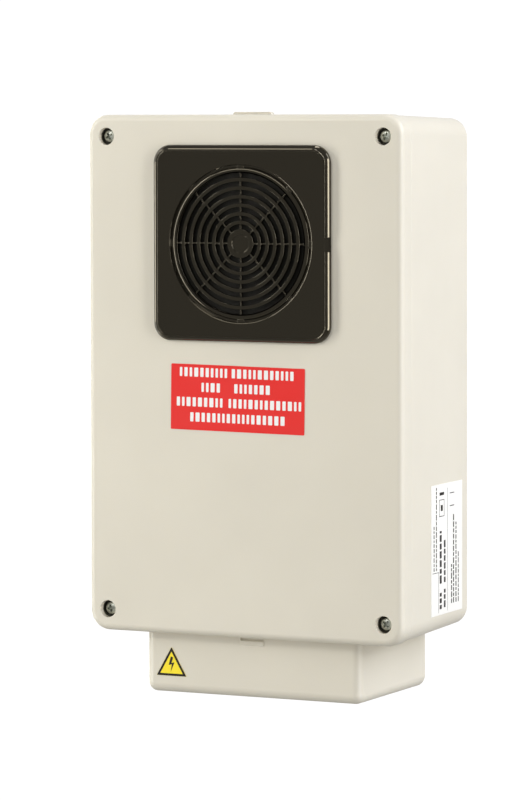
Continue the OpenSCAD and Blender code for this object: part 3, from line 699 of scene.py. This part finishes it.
def make_lid():
    rings = [lid_ring(WALL, LID_INNER), lid_ring(WALL, PARTING), lid_ring(EASE, PARTING),
             lid_ring(0, PARTING + EASE)]
    rings += [lid_ring(EDGE_R * (1 - cosine), FRONT - EDGE_R * (1 - sine))
              for sine, cosine in quarter(10)]
    lid = loft("lid", rings)
    fuse(lid, joined("lid_inside", lid_inside()))
    well = [(0, SCREW_SEAT), (WELL_R, SCREW_SEAT), (WELL_R, PAINTED_SHADE_TOP), (WELL_R, FRONT - 0.25),
            (WELL_R + 0.08, FRONT - 0.08), (WELL_R + 0.25, FRONT + 0.02),
            (WELL_R + 0.25, FRONT + 2), (0, FRONT + 2)]
    cut(lid, joined("wells", [lathe("well", well, x, y, 64) for x, y in SCREW_PLACES]))
    shafts = discs("shaft", 2.05, PARTING - 1, SCREW_SEAT + 0.5, SCREW_PLACES)
    shafts.append(disc("sound_hole", SOUND_HOLE_R, LID_INNER - 1, FRONT + 2, 0, SPEAKER_Y, 128))
    cut(lid, joined("shafts", shafts))
    dress(lid, "housing", "lid", ["front_lid"], angle=32)
    # The bottom of each screw well gets a darker material: painted shade in the recess round the
    # head
    lid.data.materials.append(MATERIALS["well_grime"])
    for face in lid.data.polygons:
        x, y, z = face.center.x / MM, face.center.z / MM, -face.center.y / MM
        out = hypot(abs(x) - SCREW_X, abs(y) - SCREW_Y)
        if SCREW_SEAT - 0.1 < z < PAINTED_SHADE_TOP and out < WELL_R + 0.05:
            face.material_index = 1


def base_ring(inset, z):
    """Outline of the rear body, which narrows a little from the wall to the rim."""
    shift = LIP + inset + (RIM - z) * SLOPE
    return rounded_ring(LID_W - shift, LID_H - shift, CORNER_R - LIP - inset, z)


def base_posts():
    """Pillars, bosses and posts that stand on the back wall, and the battery's cradle."""
    foot = 0.5
    posts = discs("pillar", 7, foot, PARTING, SCREW_PLACES)
    posts += discs("wall_boss", 6, foot, WALL + 2, WALL_HOLES)
    posts += discs("post", 3.5, foot, 12, BOARD_POSTS)
    posts += discs("clamp_post", 4, foot, 10, CLAMP_POSTS)
    posts += [block("cradle", s * CRADLE_X - 5, s * CRADLE_X + 5, y, y + 2, WALL - 0.5, WALL + 8.5)
              for s in SIDES for y in CRADLE_YS]
    return posts


def base_holes():
    """Wall holes, pilot holes, and the openings into the terminal compartment."""
    holes = discs("hole", 2.5, -1, 8, WALL_HOLES, 32)
    holes += discs("pilot", 1.8, 45, PARTING + 1, SCREW_PLACES, 32)
    holes += discs("pilot", 1.2, 4, 13, BOARD_POSTS + LOW_POSTS, 24)
    holes += discs("pilot", 1.2, 4, 11, CLAMP_POSTS, 24)
    holes.append(block("wiring_opening", -54, 54, *OPENING_YS, WALL, 48))
    holes.append(block("hook_slot", -6, 6, *OPENING_YS, HOOK_Z - 0.4, HOOK_Z + 2.4))
    return holes


def make_base():
    rings = [base_ring(WALL, WALL), base_ring(WALL, RIM - EASE), base_ring(WALL - EASE, RIM)]
    rings += [base_ring(inset, RIM - drop)
              for inset, drop in ((1, 0), (0.35, 0.3), (0.1, 0.6), (0, 0.95))]
    rings += [base_ring(1.0 - cosine, 1.0 - sine) for sine, cosine in quarter(4)]
    base = loft("rear_body", rings)
    # The back wall runs on behind the terminal cover
    plate = block("back_plate", -54.95, 54.95, COVER_LOW_Y + 5.5, -117.5, 0, WALL)
    fuse(base, joined("posts", base_posts()))
    fuse(base, plate)
    fuse(base, joined("low_posts", discs("post", 3.5, 0.5, 12, LOW_POSTS)))
    tab = block("tab", -10, 10, LID_H - 3, BASE_HIGH.y, RIM - 3.2, RIM - 0.2)
    bevel_edges(tab, 1.2, lambda a, b: a.y > LID_H and b.y > LID_H and abs(a.x - b.x) < 0.1, 5)
    fuse(base, tab)
    cut(base, joined("base_holes", base_holes()))
    dress(base, "housing", "base", ["base_shell"], angle=32)


def cover_ring(inset, z, extra=0.0):
    """Outline of the terminal cover; it widens towards the wall and its top is cut off later."""
    deep = COVER_FRONT - COVER_R
    wider = COVER_FLARE * (1 - min(z, deep) / deep)
    half = COVER_HIGH.x - COVER_FLARE + wider - inset - extra
    low, high = COVER_LOW_Y + inset + extra, -112.0
    corner = max(COVER_R + wider - inset - extra, 0.3)
    return rounded_ring(half, (high - low) / 2, corner, z, 0, (high + low) / 2)


def cover_skin(inset, back):
    """The cover's outer form, or with an inset its inner one, with a rounded front edge."""
    r, shoulder = COVER_R - inset, COVER_FRONT - COVER_R
    rings = [cover_ring(inset, back)]
    rings += [cover_ring(inset, shoulder + r * sine, r * (1 - cosine))
              for sine, cosine in quarter(9)]
    return loft("cover", rings)


def across(name, outline, half):
    """Prism along x with an outline of (y, z) points."""
    return loft(name, [[(x, y, z) for y, z in outline] for x in (-half, half)])


def make_cover():
    cover = cover_skin(0, 0)
    cut(cover, cover_skin(COVER_WALL, -5))
    side = COVER_HIGH.x - COVER_WALL
    ribs = [block("rib", *span(s, side + 0.3, side - 3), COVER_LOW_Y + 2, -123.5,
                  WALL + 0.3, WALL + 2.3) for s in SIDES]
    fuse(cover, joined("ribs", ribs))
    pad = block("pad", -LATCH_HALF, LATCH_HALF, -127.0, OPENING_YS[0], COVER_FRONT - 1,
                COVER_FRONT + 0.6)
    bevel_edges(pad, 0.55, lambda a, b: a.z > COVER_FRONT and b.z > COVER_FRONT, 3)
    fuse(cover, pad)
    # The top edge follows the sloping underside of the rear body, and then the lid
    back, front, top, gap = -2, 90, -100, 0.25
    body_edge, lid_edge = -(LID_H - LIP + gap), -LID_H - gap
    cut(cover, across("slope", [(body_edge + (RIM - back) * SLOPE, back), (body_edge, RIM),
                                (lid_edge, RIM - EASE + 0.01), (lid_edge, front), (top, front),
                                (top, back)], 80))
    cut(cover, block("notch", -LATCH_HALF, LATCH_HALF, OPENING_YS[0], top, COVER_FRONT - 0.7,
                     front))
    hook = block("hook", -HOOK_HALF, HOOK_HALF, -128.5, -117.5, HOOK_Z, HOOK_Z + 2)
    bridge = block("bridge", -HOOK_HALF, HOOK_HALF, -128.5, -125.5, HOOK_Z, COVER_FRONT - 1)
    fuse(cover, hook)
    fuse(cover, bridge)
    holes = []
    for s in SIDES:
        hole = disc("hole", GROMMET_R, -1, 6, segments=64)
        place = Matrix.Translation(at(s * GROMMET_X, COVER_LOW_Y, GROMMET_Z))
        hole.data.transform(place @ Matrix.Rotation(pi / 2, 4, "X"))
        holes.append(hole)
    cut(cover, joined("holes", holes))
    dress(cover, "housing", "cover", ["terminal_cover"], angle=32)


# ---------- Grille ----------

def grille_disc():
    """Ribs, slots, spokes and hub as one polar grid of raised cells."""
    radii = [HUB_R - 0.5]
    for i in range(7):
        middle = 7.9 + RIB_PITCH * i
        radii += [middle - RIB_SLOT / 2, middle + RIB_SLOT / 2]
    radii.append(radii[-1] + 0.6)
    per_spoke = 12

    def angles(r):
        half = asin(SPOKE_WIDTH / 2 / r)
        out = []
        for k in range(SPOKES):
            start = k * pi / 4
            out.append(start - half)
            sweep = pi / 4 - 2 * half
            out += [start + half + sweep * j / per_spoke for j in range(per_spoke)]
        return out

    n = SPOKES * (per_spoke + 1)
    # The spokes are lower than the ribs, so a third grid tops their cells
    points = []
    grids = []
    for z in (RIB_BACK, RIB_TOP, RIB_TOP - SPOKE_DROP):
        grids.append(len(points))
        for r in radii:
            points += [(r * cos(a), SPEAKER_Y + r * sin(a), z) for a in angles(r)]
    bottom, top, low_top = grids

    def level(i, j):
        """Which grid tops the cell, or None where it is open."""
        if i < 0 or i >= len(radii) - 1:
            return None
        if i % 2 == 1 and i < len(radii) - 2:
            return low_top if j % (per_spoke + 1) == 0 else None
        return top

    order = {None: 0, low_top: 1, top: 2}
    faces = []

    def quad(*corners):
        faces.append(tuple(grid + i * n + j % n for grid, (i, j) in corners))

    for i in range(len(radii) - 1):
        for j in range(n):
            here = level(i, j)
            if here is None:
                continue
            near, far, far_next, near_next = (i, j), (i + 1, j), (i + 1, j + 1), (i, j + 1)
            quad((here, near), (here, far), (here, far_next), (here, near_next))
            quad((bottom, near), (bottom, near_next), (bottom, far_next), (bottom, far))
            for neighbour, a, b in ((far, far, far_next), ((i - 1, j), near_next, near),
                                    (near_next, far_next, near_next), ((i, j - 1), near, far)):
                there = level(*neighbour)
                if order[there] >= order[here]:
                    continue
                foot = bottom if there is None else there
                if there is None and here == top:
                    # Keeps the wall watertight where a spoke's foot meets it
                    quad((bottom, a), (bottom, b), (low_top, b), (low_top, a))
                    foot = low_top
                quad((foot, a), (foot, b), (here, b), (here, a))
    ribs = mesh_piece("grille_ribs", points, faces)
    with editing(ribs.data) as work:
        loose = [v for v in work.verts if not v.link_faces]
        bmesh.ops.delete(work, geom=loose, context="VERTS")
        bmesh.ops.recalc_face_normals(work, faces=work.faces)
    return ribs


def plate_ring(inset, z):
    """One ring of the grille plate, with a corner radius that follows the inset."""
    half, corner = GRILLE_HIGH.x, 8.5
    return rounded_ring(half - inset, half - inset, corner - inset, z, 0, SPEAKER_Y, 16)


def make_grille():
    # The rim is a wide chamfer, rounded off at both ends. A fine groove runs round inside it,
    # and the field inside the groove sinks a little
    rim = [(0, GRILLE_FRONT - FRONT), (0, 1.8), (0.08, 1.5), (0.3, 1.2), (0.8, 0.68), (1.3, 0.22),
           (1.55, 0.07), (1.95, 0.0)]
    field = [(2.1, 0.02), (2.25, 0.2), (2.45, 0.2), (2.55, 0.03), (3.2, 0.05), (4.5, 0.17),
             (6, 0.26), (8, 0.3)]
    plate = loft("grille", [plate_ring(inset, GRILLE_FRONT - drop) for inset, drop in rim + field])
    level = GRILLE_FRONT - field[-1][1]
    outer = GRILLE_OPENING_R + 0.25
    opening = [(0, FRONT - 2), (GRILLE_OPENING_R, FRONT - 2), (GRILLE_OPENING_R, level - 0.25),
               (outer, level + 0.02), (outer, level + 3), (0, level + 3)]
    cut(plate, lathe("opening", opening, 0, SPEAKER_Y, 192))
    bead = [(33.1, RIB_BACK), (33.1, RIB_TOP), (34.4, RIB_TOP)]
    bead += [(34.4 + 1.2 * sine, RIB_TOP - 1.1 * (1 - cosine)) for sine, cosine in quarter(8)[1:]]
    bead += [(35.6, RIB_BACK + 0.6), (37.8, RIB_BACK + 0.6), (37.8, RIB_BACK)]
    fuse(plate, lathe("bead", bead, 0, SPEAKER_Y, 192))
    fuse(plate, grille_disc())
    fuse(plate, disc("hub", HUB_R, RIB_BACK, RIB_TOP - SPOKE_DROP, 0, SPEAKER_Y, 104))
    bridges = []
    for k in range(SPOKES):
        bridge = block("bridge", 35.2, 37.3, -1.7, 1.7, RIB_BACK + 0.1, RIB_TOP - 0.2)
        turn = Matrix.Rotation(-radians(45 * k), 4, "Y")
        bridge.data.transform(Matrix.Translation(at(0, SPEAKER_Y, 0)) @ turn)
        bridges.append(bridge)
    fuse(plate, joined("bridges", bridges))
    # Shallow pry notch in the middle of the right rim
    edge, half = GRILLE_HIGH.x, 3.3
    wedge = [(-2.7, 1), (-2.7, 0), (-0.9, -1.7), (1, -1.9), (1, 1)]
    cut(plate, loft("notch", [[(edge + x, y, GRILLE_FRONT + z) for x, z in wedge]
                              for y in (SPEAKER_Y - half, SPEAKER_Y + half)]))
    dress(plate, "black_plastic", "lid", ["speaker_grille"], bevel=0.16, angle=40)


# ---------- Screws ----------

def cross_cutter(reach, width, top, depth, cx, cy, turn):
    """The two tapered blades of a driver recess."""
    blades = []
    for a in (turn, turn + pi / 2):
        c, s = cos(a), sin(a)
        rings = []
        for z, length, half in ((top - depth, reach * 0.35, width * 0.35),
                                (top + 0.3, reach / 2, width / 2)):
            ends = ((-length, -half), (length, -half), (length, half), (-length, half))
            rings.append([(cx + u * c - v * s, cy + u * s + v * c, z) for u, v in ends])
        blades.append(loft("blade", rings))
    return blades


def thread(r, low, high, pitch, cx, cy):
    """Screw shank whose skin rises and falls along a helix, with a tapered tip."""
    segments, depth = 20, 0.42
    rows = int((high - low) / pitch * 8)
    rings = []
    for k in range(rows + 1):
        z = low + (high - low) * k / rows
        fade = min(1.0, (z - low) / 3.0)
        ring = []
        for i in range(segments):
            a = 2 * pi * i / segments
            phase = (z / pitch - i / segments) % 1.0
            crest = max(0.0, 1 - abs(phase - 0.5) * 4)
            radius = (r - depth + depth * crest) * (0.35 + 0.65 * fade)
            ring.append((cx + radius * cos(a), cy + radius * sin(a), z))
        rings.append(ring)
    return loft("thread", rings)


def make_lid_screws():
    # Inset and drop of the domed face, from the flank to the middle
    dome = [(0, 1.0), (0.08, 0.78), (0.3, 0.6), (0.8, 0.36), (1.5, 0.14), (2.3, 0.02), (HEAD_R, 0)]
    under = SCREW_SEAT + 0.02
    profile = [(0, under), (HEAD_R, under)]
    profile += [(HEAD_R - inset, HEAD_TOP - drop) for inset, drop in dome]
    for name, sx, sy, turn in (("top_left", -1, 1, 0.5), ("top_right", 1, 1, 1.1),
                               ("bottom_left", -1, -1, 0.2), ("bottom_right", 1, -1, 0.85)):
        cx, cy = sx * SCREW_X, sy * SCREW_Y
        head = lathe("screw_" + name, profile, cx, cy, 64)
        for blade in cross_cutter(4.0, 1.1, HEAD_TOP, 1.7, cx, cy, turn):
            cut(head, blade)
        for blade in cross_cutter(3.0, 0.35, HEAD_TOP, 0.5, cx, cy, turn + pi / 4):
            cut(head, blade)
        shank = thread(1.75, SCREW_SEAT - 22, SCREW_SEAT - 0.8, 1.3, cx, cy)
        neck = disc("neck", 1.5, SCREW_SEAT - 1.2, SCREW_SEAT + 0.3, cx, cy)
        screw = joined("screw_" + name + "_piece", [head, shank, neck])
        node = "lid_screw_" + name
        dress(screw, "screw_zinc", node, [node], angle=30)
        # The flank of the head gets a dark metal: painted shade for the dark ring in the gap round
        # the head
        screw.data.materials.append(MATERIALS["screw_flank"])
        for face in screw.data.polygons:
            out = hypot(face.center.x / MM - cx, face.center.z / MM - cy)
            if out > HEAD_R - 0.25:
                face.material_index = 1


# ---------- Labels ----------

def pill(x0, x1, y0, y1, z0, z1, r=0.3, cx=0.0, cy=0.0, turn=0.0):
    """Flat rounded bar, turned about a centre."""
    half_w, half_h = (x1 - x0) / 2, (y1 - y0) / 2
    c, s = cos(turn), sin(turn)
    ring = rounded_ring(half_w, half_h, min(r, half_w / 1.005, half_h / 1.005), 0,
                        (x0 + x1) / 2, (y0 + y1) / 2, 3)
    return prism("bar", [(cx + x * c - y * s, cy + x * s + y * c) for x, y, z in ring], z0, z1)


def make_red_label():
    place = (RED_X, RED_Y, RED_TURN)
    film = pill(-RED_HALF_W, RED_HALF_W, -RED_HALF_H, RED_HALF_H, FRONT, FRONT + FILM, 0.5, *place)
    film.name = "red_label_film"
    dress(film, "red_film", "lid", ["red_label"], angle=40)
    # Rows of plain blocks: the row's middle, then the left and right end of each group
    rows = [(11.8, [(-30.3, -4.1), (-3, 30.7)]), (4.8, [(-18.8, -6.8), (-1.6, 19)]),
            (-2.2, [(-31.8, -5.7), (-4.5, 33.2)]), (-9.3, [(-24.6, 25.3)])]
    chance = random.Random(4)
    half, gap = 2.15, 1.1
    bars = []
    for y, groups in rows:
        for left, right in groups:
            x = left
            while x < right - 1.2:
                width = chance.choice((1.3, 1.7, 2.1))
                end = min(x + width, right)
                bars.append(pill(x, end, y - half, y + half, FRONT + FILM - 0.01, FRONT + PRINT_TOP,
                                 0.3, *place))
                x = end + gap
    dress(joined("red_label_blocks", bars), "white_ink", "lid", angle=40)


def make_rating_label():
    film = from_cad("rating_label", "rating_label_film")
    dress(film, "white_film", "base", ["rating_label"], angle=40)
    chance = random.Random(7)
    bars = []
    c, s = cos(TAPER), sin(TAPER)
    side = bench_box("rating_label")[1].x - 38 * s - FILM

    def bar(u0, u1, v0, v1):
        """u runs from the wall side towards the front, v up the wall."""
        bars.append(loft("bar", [[(side + w * c + u * s, v, 7.5 + u * c - w * s)
                                  for u, v in ((u0, v0), (u1, v0), (u1, v1), (u0, v1))]
                                 for w in (FILM + 0.01, FILM + 0.045)]))

    def words(u, thick, low, high):
        """A line of print, as a row of plain bars of uneven length."""
        v = low
        while v < high - 0.6:
            length = min(chance.uniform(0.9, 2.2) * (0.8 + 0.5 * thick), high - v)
            bar(u - thick / 2, u + thick / 2, v, v + length)
            v += length + 0.35 + 0.22 * thick

    # Lines of print: place across, thickness, and the two ends
    for line in ((34.7, 0.9, -91, -70), (31.8, 0.9, -91, -52), (26.6, 2.3, -97.4, -72.7),
                 (26.6, 2.3, -109.4, -101.8), (21.7, 1.9, -97.2, -76.5), (21.7, 1.9, -109, -100.4),
                 (13.3, 1.1, -108, -89.6), (10.8, 1.1, -108, -66), (7.8, 1.1, -108, -70),
                 (4.9, 0.8, -108, -84)):
        words(*line)
    # Rules, and a plain square outline near the top end
    for rule in ((29.0, 29.25, -111, -92), (29.0, 36.4, -92.1, -91.85), (18.2, 18.4, -111, -53),
                 (22.2, 22.5, -66, -58), (28.0, 28.3, -66, -58), (22.2, 28.3, -66, -65.7),
                 (22.2, 28.3, -58.3, -58), (24.0, 26.5, -63.4, -60.6), (22.6, 27.9, -56, -54.6),
                 (10, 15.4, -62, -61.6), (10, 15.4, -56, -55.6)):
        bar(*rule)
    dress(joined("rating_label_blocks", bars), "dark_ink", "base", angle=40)


def triangle_points(cx, cy, side, r):
    """Upright rounded triangle with its base at cy."""
    steps, height = 5, side * sqrt(3) / 2
    corners = [(cx + side / 2, cy), (cx, cy + height), (cx - side / 2, cy)]
    middle = Vector((cx, cy + height / 3))
    points = []
    for k, corner in enumerate(corners):
        corner = Vector(corner)
        centre = corner + (middle - corner).normalized() * 2 * r
        start = radians(-90 + 120 * k)
        for i in range(steps + 1):
            a = start + radians(120) * i / steps
            points.append((centre.x + r * cos(a), centre.y + r * sin(a)))
    return points


def make_warning_label():
    cx, base, side = -42.6, COVER_LOW_Y + 8.1, 15.9
    front = COVER_FRONT
    film = prism("warning_film", triangle_points(cx, base, side, 0.25), front, front + 0.16)
    dress(film, "yellow_film", "cover", ["warning_label"], angle=40)
    outer = triangle_points(cx, base + 0.04, side - 0.14, 0.24)
    inner = triangle_points(cx, base + 1.1, side - 3.81, 0.15)
    low, high = front + 0.15, front + 0.19
    points = [(x, y, z) for z in (low, high) for line in (outer, inner) for x, y in line]
    n = len(outer)
    faces = []
    for i in range(n):
        j = (i + 1) % n
        faces += [(i, j, n + j, n + i), (2 * n + i, 3 * n + i, 3 * n + j, 2 * n + j),
                  (i, 2 * n + i, 2 * n + j, j), (n + i, n + j, 3 * n + j, 3 * n + i)]
    border = mesh_piece("warning_border", points, faces)
    bolt = [(-0.35, 9.2), (-1.5, 5.1), (0.2, 5.5), (-0.45, 1.9), (1.55, 6.5), (0.05, 6.15),
            (0.85, 8.9)]
    sign = prism("warning_bolt", [(cx + x, base + y) for x, y in bolt], low, high)
    dress(joined("warning_marks", [border, sign]), "dark_ink", "cover", angle=40)


# ---------- Everything else keeps its CAD shape with finer edges ----------

# Edge rounding in millimetres, then the nodes that have it
FINE_EDGES = {
    0: "dust_cloth speaker_surround speaker_cone dust_cap voice_coil spider "
       "speaker_lead_red speaker_lead_black battery_lead_red battery_lead_black",
    0.05: "fuse_clips fuse_glass battery_tabs",
    0.08: "circuit_board resistors fuse_caps",
    0.1: "speaker_screws speaker_tag_strip board_screws trimmer_rotor speaker_header "
         "speaker_plug battery_clamp clamp_screws battery_header battery_plug",
    0.12: "speaker_basket transformer_core amplifier_chip",
    0.15: "transformer_bobbin small_capacitors heat_sink control_chip volume_trimmer "
          "terminal_screws",
    0.2: "grommet_left grommet_right speaker_gasket rectifier terminal_block "
         "battery_connectors",
    0.25: "main_capacitor",
    0.3: "front_pole_plate rear_pole_plate",
    0.4: "relay",
    0.5: "magnet",
    0.8: "transformer_winding battery",
}


FLEXING = {n["node"]: n["fixed_end_y_m"] for j in frame["record"]["behaviour"]["joints"]
           for n in j.get("deforming_nodes", [])}


def make_inner_pieces():
    for edge, nodes in FINE_EDGES.items():
        for node in nodes.split():
            piece = from_cad(node)
            if node in FLEXING:
                flex(piece, node)
            else:
                dress(piece, SLOT_OF[node], BODY_OF[node], [node], edge, 40 if edge else 60)


def flex(piece, node):
    """A ring between the lid and the cone: one end stays, the other travels with the cone."""
    smooth(piece, 60)
    piece.data.materials.clear()
    piece.data.materials.append(MATERIALS[SLOT_OF[node]])
    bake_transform(piece)
    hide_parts(node)


# ---------- Fine detail on the board and its parts ----------

SMALL_CAPS = [(6, -14), (15, -14), (24, -14), (0, 6)]
MAIN_CAP = (24, -65)
RESISTORS = [(-38, -20), (-38, -25), (-38, -30), (-38, -35), (-10, -14), (-10, -19), (34, -120),
             (34, -124)]
RESISTOR_LEAD = 4.7
MAIN_CAP_R, MAIN_CAP_HEIGHT = 8.0, 25
SMALL_CAP_R, SMALL_CAP_HEIGHT = 3.2, 11
# Rows of leads: the first one's x, the step, their number and their y
LEAD_ROWS = [(29.2, 1.9, 5, -40.3), (-14.89, 2.54, 8, -34.6), (-14.89, 2.54, 8, -26.9),
             (14.4, 5, 4, -84), (24, 14, 2, -104.5), (24, 14, 2, -97), (17, 0, 1, -100.75),
             (-32, 8, 4, -85.2), (-32, 8, 4, -62.8), (-33.6, 15.2, 2, -109.1),
             (-33.6, 15.2, 2, -102.9), (-34.29, 7.62, 10, -134), (-22.5, 5, 2, 3.5),
             (-20, 0, 1, 8.5), (36.2, 3.6, 2, 8), (-44, 0, 1, 0.2), (-44, 0, 1, 3.8)]
# Printed outlines of the larger parts: left, right, low and high
OUTLINES = [(13.2, 42.8, -107.8, -93.7), (11.3, 32.7, -86.7, -81.3), (-16.8, 4.8, -36.4, -25.1),
            (27.2, 38.8, -43.4, -38.6), (-37.4, -14.6, -110.6, -101.4), (-25.8, -14.2, 0.2, 11.8),
            (32.6, 43.4, 4.1, 11.9), (-47.9, -40.1, -3.4, 7.4), (-45, 5, -95, -53)]
# Routes of the fine tracks and of the wide mains tracks: one to a line, as x,y points
TRACKS = """
-33.3,-20 -26,-20 -14.9,-26
-33.3,-25 -28,-25 -18,-31 -12.3,-34.6
-33.3,-30 -29,-30 -21,-38 -9.8,-38 -9.8,-34.6
-42.7,-20 -45.5,-17 -45.5,0
-42.7,-35 -46,-38 -46,-56 -38,-64
-33.3,-35 -30,-38 -30,-48 -24,-54
-5.3,-14 0,-14 4.7,-14
-5.3,-19 0,-23 2.9,-26
7.3,-14 13.7,-14
16.3,-14 22.7,-14
25.3,-14 31,-20 31,-25
-14.7,-14 -19,-9 -22,3
-17.5,3.5 -13,0 -6,0 -1.3,6
1.3,6 8,12 28,12 33,8 36.2,8
39.8,8 45,3 45,-24 49.5,-29 49.5,-46 40,-54 27.8,-65
29.2,-40.3 24,-46 8,-46 2.9,-40 2.9,-34.6
31.1,-40.3 31.1,-44 27,-49 12,-49 9,-54 9,-60 14,-65 20.2,-65
29.4,-84 36,-77 36,-60 40.5,-56
-40,14 -30,14 -26,10 -20,8.5
14.4,-84 9,-84 9,-78 6,-76
38.7,-120 45,-114 45,-100 38,-97
29.3,-124 24,-128 19.1,-131
29.3,-120 20,-120 11.4,-128 11.4,-131
38,-104.5 44,-110 44,-122 34.3,-131
"""
MAINS = """
-33.6,-109.1 -33.6,-118 -34.3,-131
-18.4,-109.1 -18.4,-116 -26.7,-124 -26.7,-131
-18.4,-102.9 -14,-98 -8,-96
17,-100.75 6,-100.75 0,-108 0,-122 3.8,-131
"""


def routes(text):
    return [[tuple(map(float, point.split(","))) for point in line.split()]
            for line in text.split("\n") if line]


def ribbon(route, width, z0, z1):
    """Flat strip of even width along a route of bench points."""
    path = [Vector(p) for p in route]
    left, right = [], []
    for i, point in enumerate(path):
        into = (point - path[i - 1]).normalized() if i else (path[1] - point).normalized()
        away = (path[i + 1] - point).normalized() if i + 1 < len(path) else into
        side = (Vector((-into.y, into.x)) + Vector((-away.y, away.x))).normalized()
        reach = width / 2 / max(0.4, side.dot(Vector((-into.y, into.x))))
        left.append(tuple(point + side * reach))
        right.append(tuple(point - side * reach))
    return prism("strip", left + right[::-1], z0, z1)


def board_print(x0, x1, y0, y1):
    """Printed bar on the board's face."""
    return block("print", x0, x1, y0, y1, BOARD_TOP, BOARD_TOP + BOARD_PRINT)


def frame_print(x0, x1, y0, y1):
    """Printed rectangle outline."""
    line = PRINT_LINE
    return [board_print(x0, x1, y0, y0 + line), board_print(x0, x1, y1 - line, y1),
            board_print(x0, x0 + line, y0 + line, y1 - line),
            board_print(x1 - line, x1, y0 + line, y1 - line)]


def ring_print(cx, cy, r):
    """Printed circle."""
    low, high, inner = BOARD_TOP, BOARD_TOP + BOARD_PRINT, r - PRINT_LINE
    return lathe("print", [(inner, low), (r, low), (r, high), (inner, high)], cx, cy, 40)


def lead_spots():
    """Where a lead goes through the board."""
    spots = [(x + s * RESISTOR_LEAD, y) for x, y in RESISTORS for s in SIDES]
    spots += [(x + s * 1.25, y) for x, y in SMALL_CAPS for s in SIDES]
    spots += [(MAIN_CAP[0] + s * 3.75, MAIN_CAP[1]) for s in SIDES]
    return spots + [(x + step * i, y) for x, step, count, y in LEAD_ROWS for i in range(count)]


def make_board_detail():
    """Masked tracks on both faces, solder joints and the printed outlines of the parts."""
    top, back = BOARD_TOP, BOARD_BACK
    strips = [ribbon(route, 0.9, top, top + TRACK) for route in routes(TRACKS)]
    strips += [ribbon(route, 2.4, top, top + TRACK) for route in routes(MAINS)]
    # The back's tracks are those of the front, seen through the board
    strips += [ribbon([(-x, y) for x, y in route], 1.1, back - TRACK, back)
               for route in routes(TRACKS)]
    dress(joined("board_tracks", strips), "board_trace", "base", angle=50)

    # Radius and rise of a joint above the face, and of its longer foot behind the board
    above = [(0, 0.16), (0.42, 0.13), (0.95, 0.02), (0.95, 0), (0, 0)]
    below = [(0, 0), (1.05, 0), (1.05, -0.06), (0.62, -0.42), (0.38, -1.1), (0, -1.25)]
    joints = [lathe("joint", [(r, level + rise) for r, rise in profile], x, y, 16)
              for x, y in lead_spots() for level, profile in ((top, above), (back, below))]
    dress(joined("solder_joints", joints), "solder", "base", angle=60)

    prints = [p for x, y in RESISTORS for p in frame_print(x - 3.8, x + 3.8, y - 1.7, y + 1.7)]
    prints += [ring_print(x, y, SMALL_CAP_R + 0.5) for x, y in SMALL_CAPS]
    prints.append(ring_print(*MAIN_CAP, MAIN_CAP_R + 0.6))
    for outline in OUTLINES:
        prints += frame_print(*outline)
    # Two lines fence off the mains side
    prints += [board_print(-5.6, -5.2, -129, -112), board_print(-49, -6, -112.6, -112.2)]
    dress(joined("board_print", prints), "silk_white", "base", angle=60)


def can_end(cx, cy, r, top):
    """Bare metal end of a capacitor with its scored vent."""
    end = disc("end", r * 0.86, top, top + 0.05, cx, cy, 40)
    score = r * 0.6
    return cut(end, *[pill(-score, score, -0.12, 0.12, top + 0.02, top + 1, 0.05, cx, cy, turn)
                      for turn in (0.4, 0.4 + pi / 2)])


def sleeve_stripe(cx, cy, r, low, high, middle):
    """Curved strip on a round can's side."""
    arc = [middle + radians(a) for a in range(-24, 25, 4)]
    outer, inner = [[(cx + radius * cos(a), cy + radius * sin(a)) for a in arc]
                    for radius in (r + 0.03, r - 0.05)]
    return prism("stripe", outer + inner[::-1], low, high)


def make_part_detail():
    """Vents, stripes and colour bands of the parts on the board."""
    cans = [(*MAIN_CAP, MAIN_CAP_R, BOARD_TOP + MAIN_CAP_HEIGHT, 3.9)]
    cans += [(*spot, SMALL_CAP_R, BOARD_TOP + SMALL_CAP_HEIGHT, 2.4) for spot in SMALL_CAPS]
    ends = [can_end(x, y, r, top) for x, y, r, top, turn in cans]
    dress(joined("capacitor_ends", ends), "aluminium", "base", angle=40)
    stripes = [sleeve_stripe(x, y, r, BOARD_TOP + r * 0.6, top - 0.6, turn)
               for x, y, r, top, turn in cans]
    dress(joined("capacitor_stripes", stripes), "sleeve_stripe", "base", angle=40)
    axis, band_r, half = BOARD_TOP + 1.6, 1.34, 0.28
    bands = {"fibre": [], "band_black": [], "wire_red": [], "brass": []}
    for i, (x, y) in enumerate(RESISTORS):
        if i % 2:
            order = ("fibre", "band_black", "wire_red", "brass")
        else:
            order = ("wire_red", "fibre", "band_black", "brass")
        # Three bands stand together, and the fourth apart
        ring = circle(band_r, 20, y, axis)
        for colour, place in zip(order, (x - 2.2, x - 1.0, x + 0.2, x + 2.1)):
            bands[colour].append(loft("band", [[(end, across, up) for across, up in ring]
                                               for end in (place - half, place + half)]))
    for colour, rings in bands.items():
        dress(joined("resistor_bands_" + colour, rings), colour, "base", angle=50)


make_lid()
make_base()
make_cover()
make_grille()
make_lid_screws()
make_red_label()
make_rating_label()
make_warning_label()
make_inner_pieces()
make_board_detail()
make_part_detail()
